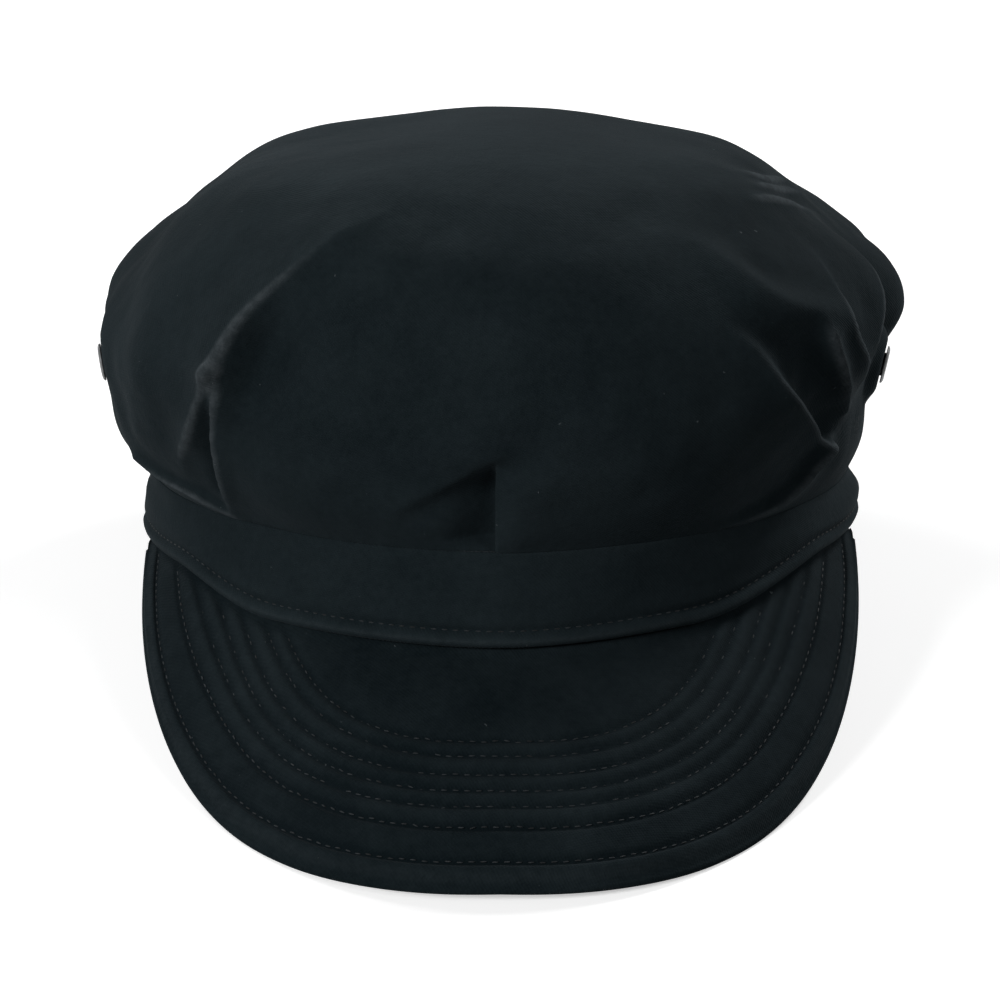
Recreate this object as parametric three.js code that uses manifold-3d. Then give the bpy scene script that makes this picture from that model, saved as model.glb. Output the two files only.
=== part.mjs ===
// A soft utility cap: a pleated, slouching cloth crown on a headband, a row-stitched visor
// and a metal vent eyelet on each side of the crown.
//
// Millimetres, +Z up, visor towards -Y, standing on z = 0 as the cap rests on a table: on two
// points of the visor's edge and on the back of the headband, where the soft cloth flattens.
// Shapes are worked out in the cap's own frame, whose z runs up the headband's axis, and are
// then leaned back onto the table by stand().
import * as THREE from "three";
import { mergeVertices } from "three/addons/utils/BufferGeometryUtils.js";
import Module from "manifold-3d";

const wasm = await Module();
wasm.setup();

// ---- Driving dimensions, in millimetres and degrees

// The headband's outline seen from above: half width, reach to front and back, and the powers
// of its superellipse, under 2 where the visor pulls the front into a slight point.
const HEAD = { halfWidth: 89, front: 98, back: 98, frontPower: 1.78, backPower: 2.1 };
const BAND = { height: 22, wall: 2.4, lean: 1.0, rollHeight: 3.2, rollBulge: 1.1 };
// The band pushes out low down at the sides, more on the right.
const BAND_BULGE = { left: 1.3, right: 2.3, highest: 9, reach: 8 };
// The band is narrower at the sides, where its foot is drawn up, more on the right.
const FOOT_RISE = [
  { angle: -150, rise: 0 },
  { angle: -95, rise: 6 },
  { angle: -63, rise: 6 },
  { angle: -36, rise: 0.1 },
  { angle: 0, rise: 0 },
  { angle: 28, rise: 1 },
  { angle: 64, rise: 9.2 },
  { angle: 98, rise: 9.2 },
  { angle: 150, rise: 0 },
];
const FOOT_RISES_BELOW = 17;
const CROWN_WALL = 1.6;
const SEAM_GAP = 0.3;

// How the cap stands: leaned back, the back of the band flattened on the table.
const LEAN = 12;
const LIFT = 14.8;
const FLATTEN = { softness: 3, fullBelow: 25, noneAbove: 85 };
// From the headband's centre to the middle of the whole cap's box, along Y.
const CENTRE_Y = -13.745;

// Level sections of the crown: height over the band's foot, and the reach each way.
const CROWN_SECTIONS = [
  { height: BAND.height + SEAM_GAP, left: 87.7, right: 87.7, front: 96.5, back: 96.5 },
  { height: 32, left: 95.2, right: 92, front: 100, back: 102 },
  { height: 46, left: 98.6, right: 94.8, front: 102.5, back: 108 },
  { height: 61, left: 98, right: 97, front: 101.5, back: 111 },
  { height: 76, left: 93, right: 92.5, front: 96.5, back: 108 },
  { height: 90, left: 77, right: 75.5, front: 86, back: 98 },
  { height: 100.5, left: 58.5, right: 58.5, front: 68, back: 78 },
  { height: 107, left: 25, right: 30, front: 40, back: 44 },
  { height: 109, left: 0, right: 0, front: 0, back: 0 },
];
const CROWN_POWER = 2.15;
const CROWN_POWER_HEIGHT = 30;

// Folds of the crown. Each runs through three stations, given by the angle round the cap (0 at
// the front, positive to the right as seen from there), the share of the way up, how far the
// cloth stands out (negative: sinks in) and the fold's half width.
const FOLDS = [
  { name: "left_ridge", angle: [-22, -39.5, -43], up: [0.66, 0.46, 0.34], rise: [0.6, 2.6, 3.4], width: [12, 6, 4] },
  { name: "left_hollow", angle: [-20, -31, -34], up: [0.52, 0.43, 0.3], rise: [-1, -2.6, -2], width: [12, 9, 8] },
  { name: "left_outer_leg", angle: [-43, -49, -58], up: [0.34, 0.22, 0.08], rise: [3, 2.6, 1.4], width: [4, 5, 6] },
  { name: "left_inner_leg", angle: [-41, -40, -46], up: [0.35, 0.24, 0.04], rise: [2, 2.6, 1.6], width: [3, 3, 3] },
  { name: "left_leg_valley", angle: [-43.5, -45, -51], up: [0.29, 0.2, 0.05], rise: [-1.4, -3, -2], width: [3, 5, 6] },
  { name: "left_shoulder", angle: [-45, -64, -62], up: [0.79, 0.66, 0.42], rise: [0.6, 2.4, 1.6], width: [10, 8, 8] },
  { name: "left_side_dip", angle: [-100, -84, -79], up: [0.7, 0.6, 0.48], rise: [-1, -2.4, -1], width: [12, 9, 8] },
  { name: "left_valley", angle: [-35, -45, -54], up: [0.66, 0.5, 0.28], rise: [-0.8, -1.6, -1.6], width: [8, 7, 7] },
  { name: "right_ridge", angle: [30, 38, 54], up: [0.5, 0.34, 0.185], rise: [0.6, 2.6, 4], width: [9, 5.5, 4] },
  { name: "right_valley", angle: [36, 47, 57], up: [0.56, 0.4, 0.27], rise: [-1.2, -3.2, -2.4], width: [9, 8, 5] },
  { name: "right_shelf", angle: [30, 41, 51], up: [0.66, 0.52, 0.47], rise: [0.6, 1.6, 2], width: [10, 7, 6] },
  { name: "right_back_ridge", angle: [54, 55, 62], up: [0.6, 0.47, 0.3], rise: [0.8, 2.6, 2.6], width: [8, 4.5, 4] },
  { name: "right_pinch", angle: [49, 53.5, 59], up: [0.44, 0.33, 0.24], rise: [0.6, 2, 2.4], width: [4, 3.5, 3.5] },
  { name: "right_edge", angle: [71, 72, 72], up: [0.6, 0.46, 0.33], rise: [1.4, 2.2, 1.6], width: [6, 5, 5] },
  { name: "right_edge_valley", angle: [80, 85, 90], up: [0.56, 0.43, 0.2], rise: [-1.4, -2.8, -1.6], width: [6, 6, 6] },
  { name: "right_lobe", angle: [98, 98, 100], up: [0.47, 0.42, 0.36], rise: [4.8, 4.8, 2], width: [11, 11, 9] },
  { name: "right_rim", angle: [18, 45, 74], up: [0.8, 0.72, 0.65], rise: [0.5, 1.6, 1], width: [14, 11, 8] },
  { name: "right_overhang", angle: [34, 47, 58], up: [0.03, 0.055, 0.16], rise: [1.2, 3, 2.6], width: [5, 6, 6] },
  { name: "left_overhang", angle: [-66, -52, -36], up: [0.07, 0.05, 0.035], rise: [2.4, 2.2, 1], width: [6, 5, 5] },
  { name: "front_drag", angle: [-1.5, -8, -15], up: [0.235, 0.18, 0.14], rise: [-1.2, -1.6, -0.4], width: [3, 4, 5] },
];
const FOLD_STEPS = 12;

// Tucks sewn into the seam: where, how far up they stay folded (a share of the way up), how
// far the upper cloth laps out and the lower cloth sinks, and which side lies on top.
const TUCKS = [
  { name: "front", angle: -0.5, top: 0.25, lap: 1.5, sink: 3.2, over: 1 },
  { name: "left_side", angle: -102, top: 0.3, lap: 1.8, sink: 2.4, over: -1 },
  { name: "right_side", angle: 104, top: 0.3, lap: 1.8, sink: 2.4, over: 1 },
  { name: "left_rear", angle: -130, top: 0.34, lap: 2, sink: 2.8, over: -1 },
  { name: "right_rear", angle: 128, top: 0.34, lap: 2, sink: 2.8, over: 1 },
  { name: "left_back", angle: -158, top: 0.3, lap: 1.8, sink: 2.4, over: -1 },
  { name: "right_back", angle: 154, top: 0.3, lap: 1.8, sink: 2.4, over: 1 },
];
const TUCK_SPREAD = { over: 12, under: 9, edge: 1.2 };

// The visor: its outer edge is a superellipse in plan, and a table gives the height of that
// edge's underside over the table on each side, by the angle from the front.
const VISOR = { left: 89.3, right: 88.4, tipY: 10, reach: 139.6, power: 2.3, thickness: 3.2, edge: 1.8, camber: 2.2 };
const VISOR_EDGE_HEIGHTS = [
  { angle: 0, left: 2.2, right: 2.2 },
  { angle: 15, left: 1.3, right: 1.3 },
  { angle: 30, left: 0.1, right: 0.1 },
  { angle: 40, left: 0, right: 0 },
  { angle: 50, left: 1.5, right: 1.5 },
  { angle: 60, left: 4.8, right: 5 },
  { angle: 70, left: 9.4, right: 10.4 },
  { angle: 80, left: 14.6, right: 17 },
  { angle: 90, left: 19.4, right: 22.6 },
];
const VISOR_TIP_ANGLE = 89;
const VISOR_ROOT = { tuckedUnder: 2.0, tipAngle: 86, gap: 0.35 };

const EYELETS = [
  { name: "eyelet_left", angle: -83, up: 0.285 },
  { name: "eyelet_right", angle: 79, up: 0.29 },
];
const EYELET = { bore: 2.3, barrel: 2.9, flange: 4.7, flangeThickness: 0.5, clearance: 0.4 };
// The cloth round an eyelet is pressed flat, out to one reach and fading by another.
const PRESSED = { flatWithin: 8.5, freeBeyond: 15, depth: 14 };

// Mesh fineness.
const COLUMNS = 90;
const CROWN_ROWS = 20;
const CROWN_ROW_LEAN = 1.12;
const FRONT_DENSITY = 0.36;
const VISOR_GRID = { along: 42, across: 8 };

// ---- Small helpers

const rad = THREE.MathUtils.degToRad;
const { clamp, lerp, smoothstep } = THREE.MathUtils;

// The value at x of a table's column, between rows given by their key column.
function tableValue(rows, key, column, x) {
  const next = rows.findIndex((row) => row[key] >= x);
  if (next <= 0) return rows.at(next)[column];
  const [a, b] = [rows[next - 1], rows[next]];
  const t = (x - a[key]) / (b[key] - a[key]);
  return lerp(a[column], b[column], t * t * (3 - 2 * t));
}

// The curve through three values, at t = 0, 0.5 and 1.
function throughThree([start, middle, end], t) {
  return start * (1 - t) * (1 - 2 * t) + 4 * middle * t * (1 - t) + end * t * (2 * t - 1);
}

// Reach of a superellipse with its own half axis each way, at an angle from the front.
function planReach(angle, { left, right, front, back }, frontPower, backPower) {
  const across = Math.abs(Math.sin(angle)) / (Math.sin(angle) < 0 ? left : right);
  const along = Math.abs(Math.cos(angle)) / (Math.cos(angle) > 0 ? front : back);
  const power = Math.cos(angle) > 0 ? frontPower : backPower;
  return (across ** power + along ** power) ** (-1 / power);
}

function atAngle(angle, reach, height) {
  return new THREE.Vector3(reach * Math.sin(angle), -reach * Math.cos(angle), height);
}

// From the cap's frame to the table: lean back, lift, and let the back of the band lie flat.
function stand(point) {
  const sine = Math.sin(rad(LEAN));
  const cosine = Math.cos(rad(LEAN));
  const foot = LIFT - point.y * sine;
  const soft = FLATTEN.softness;
  let rise = Math.max(-foot, 0);
  if (Math.abs(foot) < soft) rise = (soft - foot) ** 2 / (4 * soft);
  const share = 1 - smoothstep(point.z, FLATTEN.fullBelow, FLATTEN.noneAbove);
  return new THREE.Vector3(
    point.x,
    point.y * cosine + point.z * sine - CENTRE_Y,
    point.z * cosine - point.y * sine + LIFT + rise * share,
  );
}

// Moves every vertex of a geometry, and merges the ones that come together.
function shaped(geometry, place) {
  const bare = geometry.index ? geometry.toNonIndexed() : geometry.clone();
  for (const name of Object.keys(bare.attributes)) if (name !== "position") bare.deleteAttribute(name);
  const position = bare.getAttribute("position");
  const point = new THREE.Vector3();
  for (let i = 0; i < position.count; i++) {
    point.fromBufferAttribute(position, i);
    const moved = place(point);
    position.setXYZ(i, moved.x, moved.y, moved.z);
  }
  const merged = mergeVertices(bare, 1e-3);
  merged.computeVertexNormals();
  return merged;
}

// A unit lathe whose profile is a list of keys: key j of the profile is at x or y = j, and
// place(angle, key) says where that vertex goes. More columns fall at the front.
function lathe(keys, place) {
  const turn = keys.map((_, j) => new THREE.Vector2(1, j));
  const geometry = new THREE.LatheGeometry(turn, COLUMNS);
  const ring = new THREE.Vector3();
  return shaped(geometry, (point) => {
    ring.copy(point);
    const even = Math.atan2(ring.x, ring.z);
    const angle = even - FRONT_DENSITY * Math.sin(even);
    return place(angle, keys[Math.round(ring.y)]);
  });
}

// ---- The headband

const headSides = (grow) => ({
  left: HEAD.halfWidth + grow,
  right: HEAD.halfWidth + grow,
  front: HEAD.front + grow,
  back: HEAD.back + grow,
});

function bandPoint(angle, outward, height) {
  const reach = planReach(angle, headSides(outward), HEAD.frontPower, HEAD.backPower);
  const push = Math.sin(angle) < 0 ? BAND_BULGE.left : BAND_BULGE.right;
  const low = Math.exp(-(((height - BAND_BULGE.highest) / BAND_BULGE.reach) ** 2));
  const edges = smoothstep(height, 0, BAND.rollHeight) * smoothstep(BAND.height - height, 0, 6);
  const rise = tableValue(FOOT_RISE, "angle", "rise", THREE.MathUtils.radToDeg(angle));
  const share = Math.min((BAND.height - height) / FOOT_RISES_BELOW, 1);
  return atAngle(angle, reach + push * low * edges * Math.sin(angle) ** 6, height + rise * share);
}

// The band's section, outside then inside: a straight wall over a rolled, top-stitched foot.
function bandSection() {
  const top = -BAND.lean;
  const roll = BAND.rollHeight;
  const outside = [
    { outward: top, height: BAND.height },
    { outward: top * 0.7, height: BAND.height * 0.72 },
    { outward: top * 0.3, height: BAND.height * 0.42 },
    { outward: 0, height: roll * 1.45 },
    { outward: BAND.rollBulge * 0.85, height: roll },
    { outward: BAND.rollBulge, height: roll * 0.45 },
    { outward: BAND.rollBulge * 0.5, height: 0 },
  ];
  const inside = [
    { outward: -BAND.wall, height: 0 },
    { outward: -BAND.wall - BAND.lean * 0.5, height: BAND.height * 0.5 },
    { outward: top - BAND.wall, height: BAND.height },
  ];
  return [...outside, ...inside, outside[0]].reverse();
}

function bandGeometry() {
  return lathe(bandSection(), (angle, key) => stand(bandPoint(angle, key.outward, key.height)));
}

// ---- The crown

// A section of the crown between the table's rows, by the share of the way up.
function crownSection(up) {
  const last = CROWN_SECTIONS.length - 1;
  const position = clamp(up, 0, 1) * last;
  const row = Math.min(Math.floor(position), last - 1);
  const t = position - row;
  const section = {};
  for (const column of ["height", "left", "right", "front", "back"]) {
    const at = (i) => {
      if (i < 0) return 2 * CROWN_SECTIONS[0][column] - CROWN_SECTIONS[1][column];
      if (i > last) return CROWN_SECTIONS[last - 1][column] * (column === "height" ? 1 : -1);
      return CROWN_SECTIONS[i][column];
    };
    const [p0, p1, p2, p3] = [at(row - 1), at(row), at(row + 1), at(row + 2)];
    const curve = 2 * p1 + (p2 - p0) * t + (2 * p0 - 5 * p1 + 4 * p2 - p3) * t * t;
    section[column] = 0.5 * (curve + (3 * p1 - p0 - 3 * p2 + p3) * t ** 3);
  }
  return section;
}

function crownReach(angle, up) {
  const section = crownSection(up);
  const sides = {};
  for (const side of ["left", "right", "front", "back"]) sides[side] = Math.max(section[side], 1e-4);
  const rounded = clamp((section.height - BAND.height) / CROWN_POWER_HEIGHT, 0, 1);
  const frontPower = lerp(HEAD.frontPower, CROWN_POWER, rounded);
  const backPower = lerp(HEAD.backPower, CROWN_POWER, rounded);
  return { reach: planReach(angle, sides, frontPower, backPower), height: section.height };
}

const CROWN_GIRTH_REACH = 98;
const CROWN_RISE_LENGTH = 165;

// How far one fold moves the cloth out at a place on the crown.
function foldRise(fold, angle, up, reach) {
  let nearest = Infinity;
  let along = 0;
  let from = null;
  for (let step = 0; step <= FOLD_STEPS; step++) {
    const t = step / FOLD_STEPS;
    const x = (angle - rad(throughThree(fold.angle, t))) * reach;
    const y = (up - throughThree(fold.up, t)) * CROWN_RISE_LENGTH;
    if (from) {
      const [dx, dy] = [from.x - x, from.y - y];
      const share = clamp((from.x * dx + from.y * dy) / (dx * dx + dy * dy || 1), 0, 1);
      const distance = Math.hypot(from.x - dx * share, from.y - dy * share);
      if (distance < nearest) {
        nearest = distance;
        along = (step - 1 + share) / FOLD_STEPS;
      }
    }
    from = { x, y };
  }
  const width = throughThree(fold.width, along);
  return throughThree(fold.rise, along) * Math.exp(-((nearest / width) ** 1.7));
}

// How far one sewn tuck moves the cloth out: a lap on one side, a hollow on the other.
function tuckRise(tuck, angle, up, reach) {
  if (up > tuck.top) return 0;
  const turned = Math.atan2(Math.sin(angle - rad(tuck.angle)), Math.cos(angle - rad(tuck.angle)));
  const x = turned * reach * tuck.over;
  const open = 1 - smoothstep(up, tuck.top * 0.45, tuck.top);
  const edge = 0.5 + 0.5 * Math.tanh(x / TUCK_SPREAD.edge);
  const lap = tuck.lap * edge * Math.exp(-Math.max(x, 0) / TUCK_SPREAD.over);
  const sink = tuck.sink * (1 - edge) * Math.exp(Math.min(x, 0) / TUCK_SPREAD.under);
  return open * (lap - sink);
}

// The crown's outer face, before any thickness, in the cap's frame.
function crownPoint(angle, up) {
  const { reach, height } = crownReach(angle, up);
  const girth = Math.max(reach, 1);
  let rise = 0;
  for (const fold of FOLDS) rise += foldRise(fold, angle, up, girth);
  for (const tuck of TUCKS) rise += tuckRise(tuck, angle, up, girth);
  const tilt = clamp((up - 0.45) / 0.45, 0, 1) * 80;
  const seamHold = smoothstep(up, -0.01, 0.06);
  rise *= lerp(0.35, 1, seamHold) * (1 - smoothstep(up, 0.86, 1));
  const outward = atAngle(angle, reach, height);
  outward.add(atAngle(angle, rise * Math.cos(rad(tilt)), rise * Math.sin(rad(tilt))));
  return outward;
}

// The crown's outward direction at a place, level at the seam so that the cut edge is flat.
function crownNormal(angle, up) {
  const step = 0.004;
  const round = crownPoint(angle + step * 4, up).sub(crownPoint(angle - step * 4, up));
  const rising = crownPoint(angle, Math.min(up + step, 1)).sub(crownPoint(angle, Math.max(up - step, 0)));
  const normal = round.cross(rising);
  normal.z *= smoothstep(up, 0, 0.08);
  return normal.normalize();
}

// Presses the cloth round each eyelet into the eyelet's plane.
function pressFlat(point, inward, seats) {
  for (const { centre, normal } of seats) {
    const offset = point.clone().sub(centre);
    const depth = offset.dot(normal);
    const distance = offset.addScaledVector(normal, -depth).length();
    if (Math.abs(depth) > PRESSED.depth) continue;
    const share = 1 - smoothstep(distance, PRESSED.flatWithin, PRESSED.freeBeyond);
    point.addScaledVector(normal, (-inward - depth) * share);
  }
  return point;
}

// The crown as a closed shell: down its inner face from the crown's top, round the edge at
// the seam, and up its outer face.
function crownGeometry(seats) {
  const keys = [];
  const up = (row) => (row / CROWN_ROWS) ** CROWN_ROW_LEAN;
  for (let row = CROWN_ROWS; row >= 0; row--) keys.push({ up: up(row), inward: CROWN_WALL });
  for (let row = 0; row <= CROWN_ROWS; row++) keys.push({ up: up(row), inward: 0 });
  return lathe(keys, (angle, key) => {
    if (key.up === 1) {
      const top = CROWN_SECTIONS.at(-1).height;
      return stand(new THREE.Vector3(0, 0, top - key.inward));
    }
    const point = crownPoint(angle, key.up);
    if (key.inward) point.addScaledVector(crownNormal(angle, key.up), -key.inward);
    return pressFlat(stand(point), key.inward, seats);
  });
}

// ---- The visor

// The visor's outer edge on the table, by the angle from the front.
function visorEdge(angle) {
  const side = Math.sin(angle);
  const halfWidth = side < 0 ? VISOR.left : VISOR.right;
  const x = halfWidth * Math.sign(side) * Math.abs(side) ** (2 / VISOR.power);
  const y = -VISOR.tipY - VISOR.reach * Math.abs(Math.cos(angle)) ** (2 / VISOR.power);
  const degrees = Math.abs(THREE.MathUtils.radToDeg(angle));
  const height = tableValue(VISOR_EDGE_HEIGHTS, "angle", side < 0 ? "left" : "right", degrees);
  return new THREE.Vector3(x, y - CENTRE_Y, height);
}

// The visor's root, tucked under the foot of the band.
function visorRoot(share) {
  const angle = share * rad(VISOR_ROOT.tipAngle);
  const root = stand(bandPoint(angle, -VISOR_ROOT.tuckedUnder, 0));
  root.z -= VISOR_ROOT.gap + VISOR.thickness;
  return root;
}

// A point of the visor: share from -1 to 1 across the cap, out from 0 at the root to 1 at the
// edge, and level 0 underneath to 1 on top.
function visorPoint(share, out, level) {
  const root = visorRoot(share);
  const edge = visorEdge(share * rad(VISOR_TIP_ANGLE));
  const point = root.lerp(edge, out);
  const span = Math.cos((share * Math.PI) / 2);
  point.z += VISOR.camber * span * Math.sin(Math.PI * out);
  point.z += level * lerp(VISOR.thickness, VISOR.edge, smoothstep(out, 0.95, 1));
  return point;
}

function visorGeometry() {
  const { along, across } = VISOR_GRID;
  const block = new THREE.BoxGeometry(2, 1, 1, along, across, 2);
  return shaped(block, (point) => {
    const out = Math.sin(((0.5 - point.y) * Math.PI) / 2) ** 0.8;
    return visorPoint(point.x, out, point.z + 0.5);
  });
}

// ---- The eyelets

// A closed ring: a barrel through the cloth with a rolled flange outside and a flat one inside.
function eyeletGeometry() {
  const { bore, barrel, flange, flangeThickness, clearance } = EYELET;
  const outside = clearance;
  const inside = -CROWN_WALL - clearance;
  const section = [
    [bore, inside - flangeThickness],
    [flange * 0.92, inside - flangeThickness],
    [flange * 0.92, inside],
    [barrel, inside],
    [barrel, outside],
    [flange, outside],
    [flange * 0.96, outside + flangeThickness],
    [(flange + bore) / 2, outside + flangeThickness * 1.7],
    [bore, outside + flangeThickness],
    [bore, inside - flangeThickness],
  ];
  const geometry = new THREE.LatheGeometry(section.map(([x, y]) => new THREE.Vector2(x, y)), 24);
  return shaped(geometry, (point) => point);
}

// Where an eyelet sits: on the crown's outer face, with +Y of the lathe pointing outwards.
function eyeletSeat(angle, up) {
  const centre = stand(crownPoint(angle, up));
  const step = 0.03;
  const round = stand(crownPoint(angle + step, up)).sub(stand(crownPoint(angle - step, up)));
  const rising = stand(crownPoint(angle, up + step)).sub(stand(crownPoint(angle, up - step)));
  const normal = round.cross(rising).normalize();
  const turn = new THREE.Quaternion().setFromUnitVectors(new THREE.Vector3(0, 1, 0), normal);
  return { centre, normal, turn };
}

// ---- Booleans

function toSolid(geometry) {
  const merged = mergeVertices(geometry, 1e-3);
  const vertProperties = new Float32Array(merged.getAttribute("position").array);
  return new wasm.Manifold(
    new wasm.Mesh({ numProp: 3, vertProperties, triVerts: new Uint32Array(merged.index.array) }),
  );
}

function fromSolid(solid) {
  const mesh = solid.getMesh();
  const geometry = new THREE.BufferGeometry();
  geometry.setAttribute("position", new THREE.BufferAttribute(mesh.vertProperties, 3));
  geometry.setIndex(new THREE.BufferAttribute(mesh.triVerts, 1));
  geometry.computeVertexNormals();
  return geometry;
}

// The crown with a hole cut for each eyelet's barrel.
function crownWithHoles(seats) {
  let solid = toSolid(crownGeometry(seats));
  for (const { centre, turn } of seats) {
    const radius = EYELET.barrel + SEAM_GAP;
    const drill = new THREE.CylinderGeometry(radius, radius, 24, 28);
    for (const name of ["normal", "uv"]) drill.deleteAttribute(name);
    drill.applyQuaternion(turn).translate(centre.x, centre.y, centre.z);
    solid = solid.subtract(toSolid(drill));
  }
  return fromSolid(solid);
}

// ---- Assembly

const cloth = new THREE.MeshStandardMaterial({ color: 0x14181b, roughness: 0.95, metalness: 0 });
const visorCloth = new THREE.MeshStandardMaterial({ color: 0x13171a, roughness: 0.95, metalness: 0 });
const nickel = new THREE.MeshStandardMaterial({ color: 0xb9bcbe, roughness: 0.3, metalness: 1 });

const cap = new THREE.Group();

function add(name, geometry, material) {
  const mesh = new THREE.Mesh(geometry, material);
  mesh.name = name;
  cap.add(mesh);
  return mesh;
}

const eyeletSeats = EYELETS.map(({ angle, up }) => eyeletSeat(rad(angle), up));

add("crown", crownWithHoles(eyeletSeats), cloth);
add("band", bandGeometry(), cloth);
add("visor", visorGeometry(), visorCloth);
EYELETS.forEach(({ name }, i) => {
  const eyelet = add(name, eyeletGeometry(), nickel);
  eyelet.position.copy(eyeletSeats[i].centre);
  eyelet.quaternion.copy(eyeletSeats[i].turn);
});

export default cap;
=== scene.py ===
import math

import bmesh
import bpy
import numpy as np
from bpy.props import FloatProperty, FloatVectorProperty, IntProperty, PointerProperty
from bpy.types import Operator, Panel, PropertyGroup
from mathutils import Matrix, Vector


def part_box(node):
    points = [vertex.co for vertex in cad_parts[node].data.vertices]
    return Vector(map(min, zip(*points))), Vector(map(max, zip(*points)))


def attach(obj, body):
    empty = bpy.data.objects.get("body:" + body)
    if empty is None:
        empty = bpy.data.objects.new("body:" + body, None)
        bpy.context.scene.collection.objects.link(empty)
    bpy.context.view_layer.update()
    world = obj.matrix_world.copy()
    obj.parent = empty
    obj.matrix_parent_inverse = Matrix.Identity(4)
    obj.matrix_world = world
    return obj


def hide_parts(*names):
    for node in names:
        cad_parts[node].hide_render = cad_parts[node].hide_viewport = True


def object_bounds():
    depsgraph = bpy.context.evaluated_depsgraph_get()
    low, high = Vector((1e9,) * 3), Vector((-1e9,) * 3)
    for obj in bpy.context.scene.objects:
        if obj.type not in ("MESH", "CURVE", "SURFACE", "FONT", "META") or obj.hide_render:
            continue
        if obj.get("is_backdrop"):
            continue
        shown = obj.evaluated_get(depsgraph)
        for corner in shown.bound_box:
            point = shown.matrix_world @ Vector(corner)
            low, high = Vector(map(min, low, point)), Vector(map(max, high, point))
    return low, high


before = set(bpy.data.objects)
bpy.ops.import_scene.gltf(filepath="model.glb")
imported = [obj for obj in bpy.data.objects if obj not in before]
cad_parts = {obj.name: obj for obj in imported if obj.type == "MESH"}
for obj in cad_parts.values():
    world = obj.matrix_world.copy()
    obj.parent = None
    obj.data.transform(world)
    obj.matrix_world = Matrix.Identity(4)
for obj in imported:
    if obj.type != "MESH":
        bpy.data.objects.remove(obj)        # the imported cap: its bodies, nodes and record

bl_info = {
    "name": "Utility Cap",
    "version": (1, 0, 0),
    "blender": (4, 5, 0),
    "location": "3D View > Sidebar > Cap",
    "description": "Makes a soft utility cap: tucked crown, headband, row-stitched visor and side vents",
    "category": "Add Mesh",
}

# In metres: a millimetre, and how far apart the vertices of one place may lie.
MM = 0.001
WELD = 1e-6

# ---- The cut of the cap, in millimetres and degrees
# It is the solids' cut, but for the crown's left side and its topmost section, which the sharper
# folds here draw in or out by a few millimetres, and the visor's left side, 1 mm narrower.

HEAD = {"half_width": 89.0, "front": 98.0, "back": 98.0, "front_power": 1.78, "back_power": 2.1}
BAND = {"height": 22.0, "wall": 2.4, "lean": 1.0, "roll_height": 3.2}
# The band bulges at its sides, eased out below its seam and sharper the higher the power.
BAND_BULGE = {"left": 1.3, "right": 2.3, "highest": 9.0, "reach": 8.0, "below_seam": 6.0, "power": 6}
# How far the band's foot is drawn up, by the angle from the front.
FOOT_RISE_ANGLES = (-150, -95, -63, -36, 0, 28, 64, 98, 150)
FOOT_RISES = (0.0, 6.0, 6.0, 0.1, 0.0, 1.0, 9.2, 9.2, 0.0)
FOOT_RISES_BELOW = 17.0
CROWN_WALL = 1.6
SEAM_GAP = -0.15
LEAN = math.radians(12.0)
LIFT = 14.8
FLATTEN = {"softness": 3.0, "full_below": 25.0, "none_above": 85.0}

# The cap's own frame stands on the band's centre, which the back of the band's box gives.
BAND_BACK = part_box("band")[1][1] / MM
SEAM_BACK = (HEAD["back"] - BAND["lean"]) * math.cos(LEAN) + BAND["height"] * math.sin(LEAN)
CENTRE_SHIFT = BAND_BACK - SEAM_BACK

# Section of the band: how far out of the head's outline, and the height over its foot.
BAND_SECTION = (
    (-0.3, 0.0), (0.5, 0.03), (0.95, 0.35), (1.25, 0.9), (1.3, 1.5), (1.15, 2.2), (0.7, 2.8),
    (0.1, 3.25), (-0.3, 3.7), (-0.2, 4.3), (0.1, 5.0), (0.14, 5.8), (0.0, 7.0), (-0.12, 8.5), (-0.25, 10.5),
    (-0.4, 13.0), (-0.6, 15.5), (-0.75, 18.0), (-0.86, 20.0), (-0.95, 21.4), (-1.08, BAND["height"] - 0.12),
    (-1.5, BAND["height"]), (-2.9, BAND["height"]), (-BAND["lean"] - BAND["wall"], BAND["height"] - 0.5),
    (-3.3, 16.0), (-3.0, 10.0), (-2.6, 4.0), (-BAND["wall"], 0.6), (-1.9, 0.0),
)
BAND_COLUMNS = 340
BAND_GIRTH = 93.0
# The band's cloth is uneven by waves that run round it, above its stitching and on its outer face.
BAND_WAVES = (
    {"height": 0.14, "turns": 9, "drift": 0.6, "start": 0.0},
    {"height": 0.1, "turns": 17, "drift": -0.3, "start": 1.0},
)
BAND_WAVY = {"outside_of": -1.35, "above": 4.5}
# Where the band's colour is paler on its rolled foot, as rubbed wear and a painted highlight, and darker
# along its stitching, as painted shade in the groove there.
BAND_WEAR_AND_PAINTED_LIGHT = {
    "foot": {"height": 1.5, "width": 1.3, "amount": 0.55},
    "sewn": {"height": 3.8, "width": 0.7, "amount": -0.5},
}
BAND_STITCHES = {"outward": -0.22, "height": 3.75, "steps": 4001}

# Level sections of the crown: height over the band's foot, and the reach each way.
SECTION_COLUMNS = ("height", "left", "right", "front", "back")
CROWN_SECTIONS = np.array([
    (BAND["height"] + SEAM_GAP, 87.7, 87.7, 96.5, 96.5),
    (32.0, 96.2, 92.0, 100.0, 102.0),
    (46.0, 98.6, 94.8, 102.5, 108.0),
    (61.0, 99.4, 97.0, 101.5, 111.0),
    (76.0, 90.8, 92.5, 96.5, 108.0),
    (90.0, 77.5, 75.5, 86.0, 98.0),
    (100.5, 60.5, 58.5, 68.0, 78.0),
    (107.0, 20.0, 29.0, 40.0, 44.0),
    (109.0, 0.0, 0.0, 0.0, 0.0),
])
CROWN_POWER = 2.15
CROWN_POWER_HEIGHT = 30.0
CROWN_RISE_LENGTH = 165.0
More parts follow.
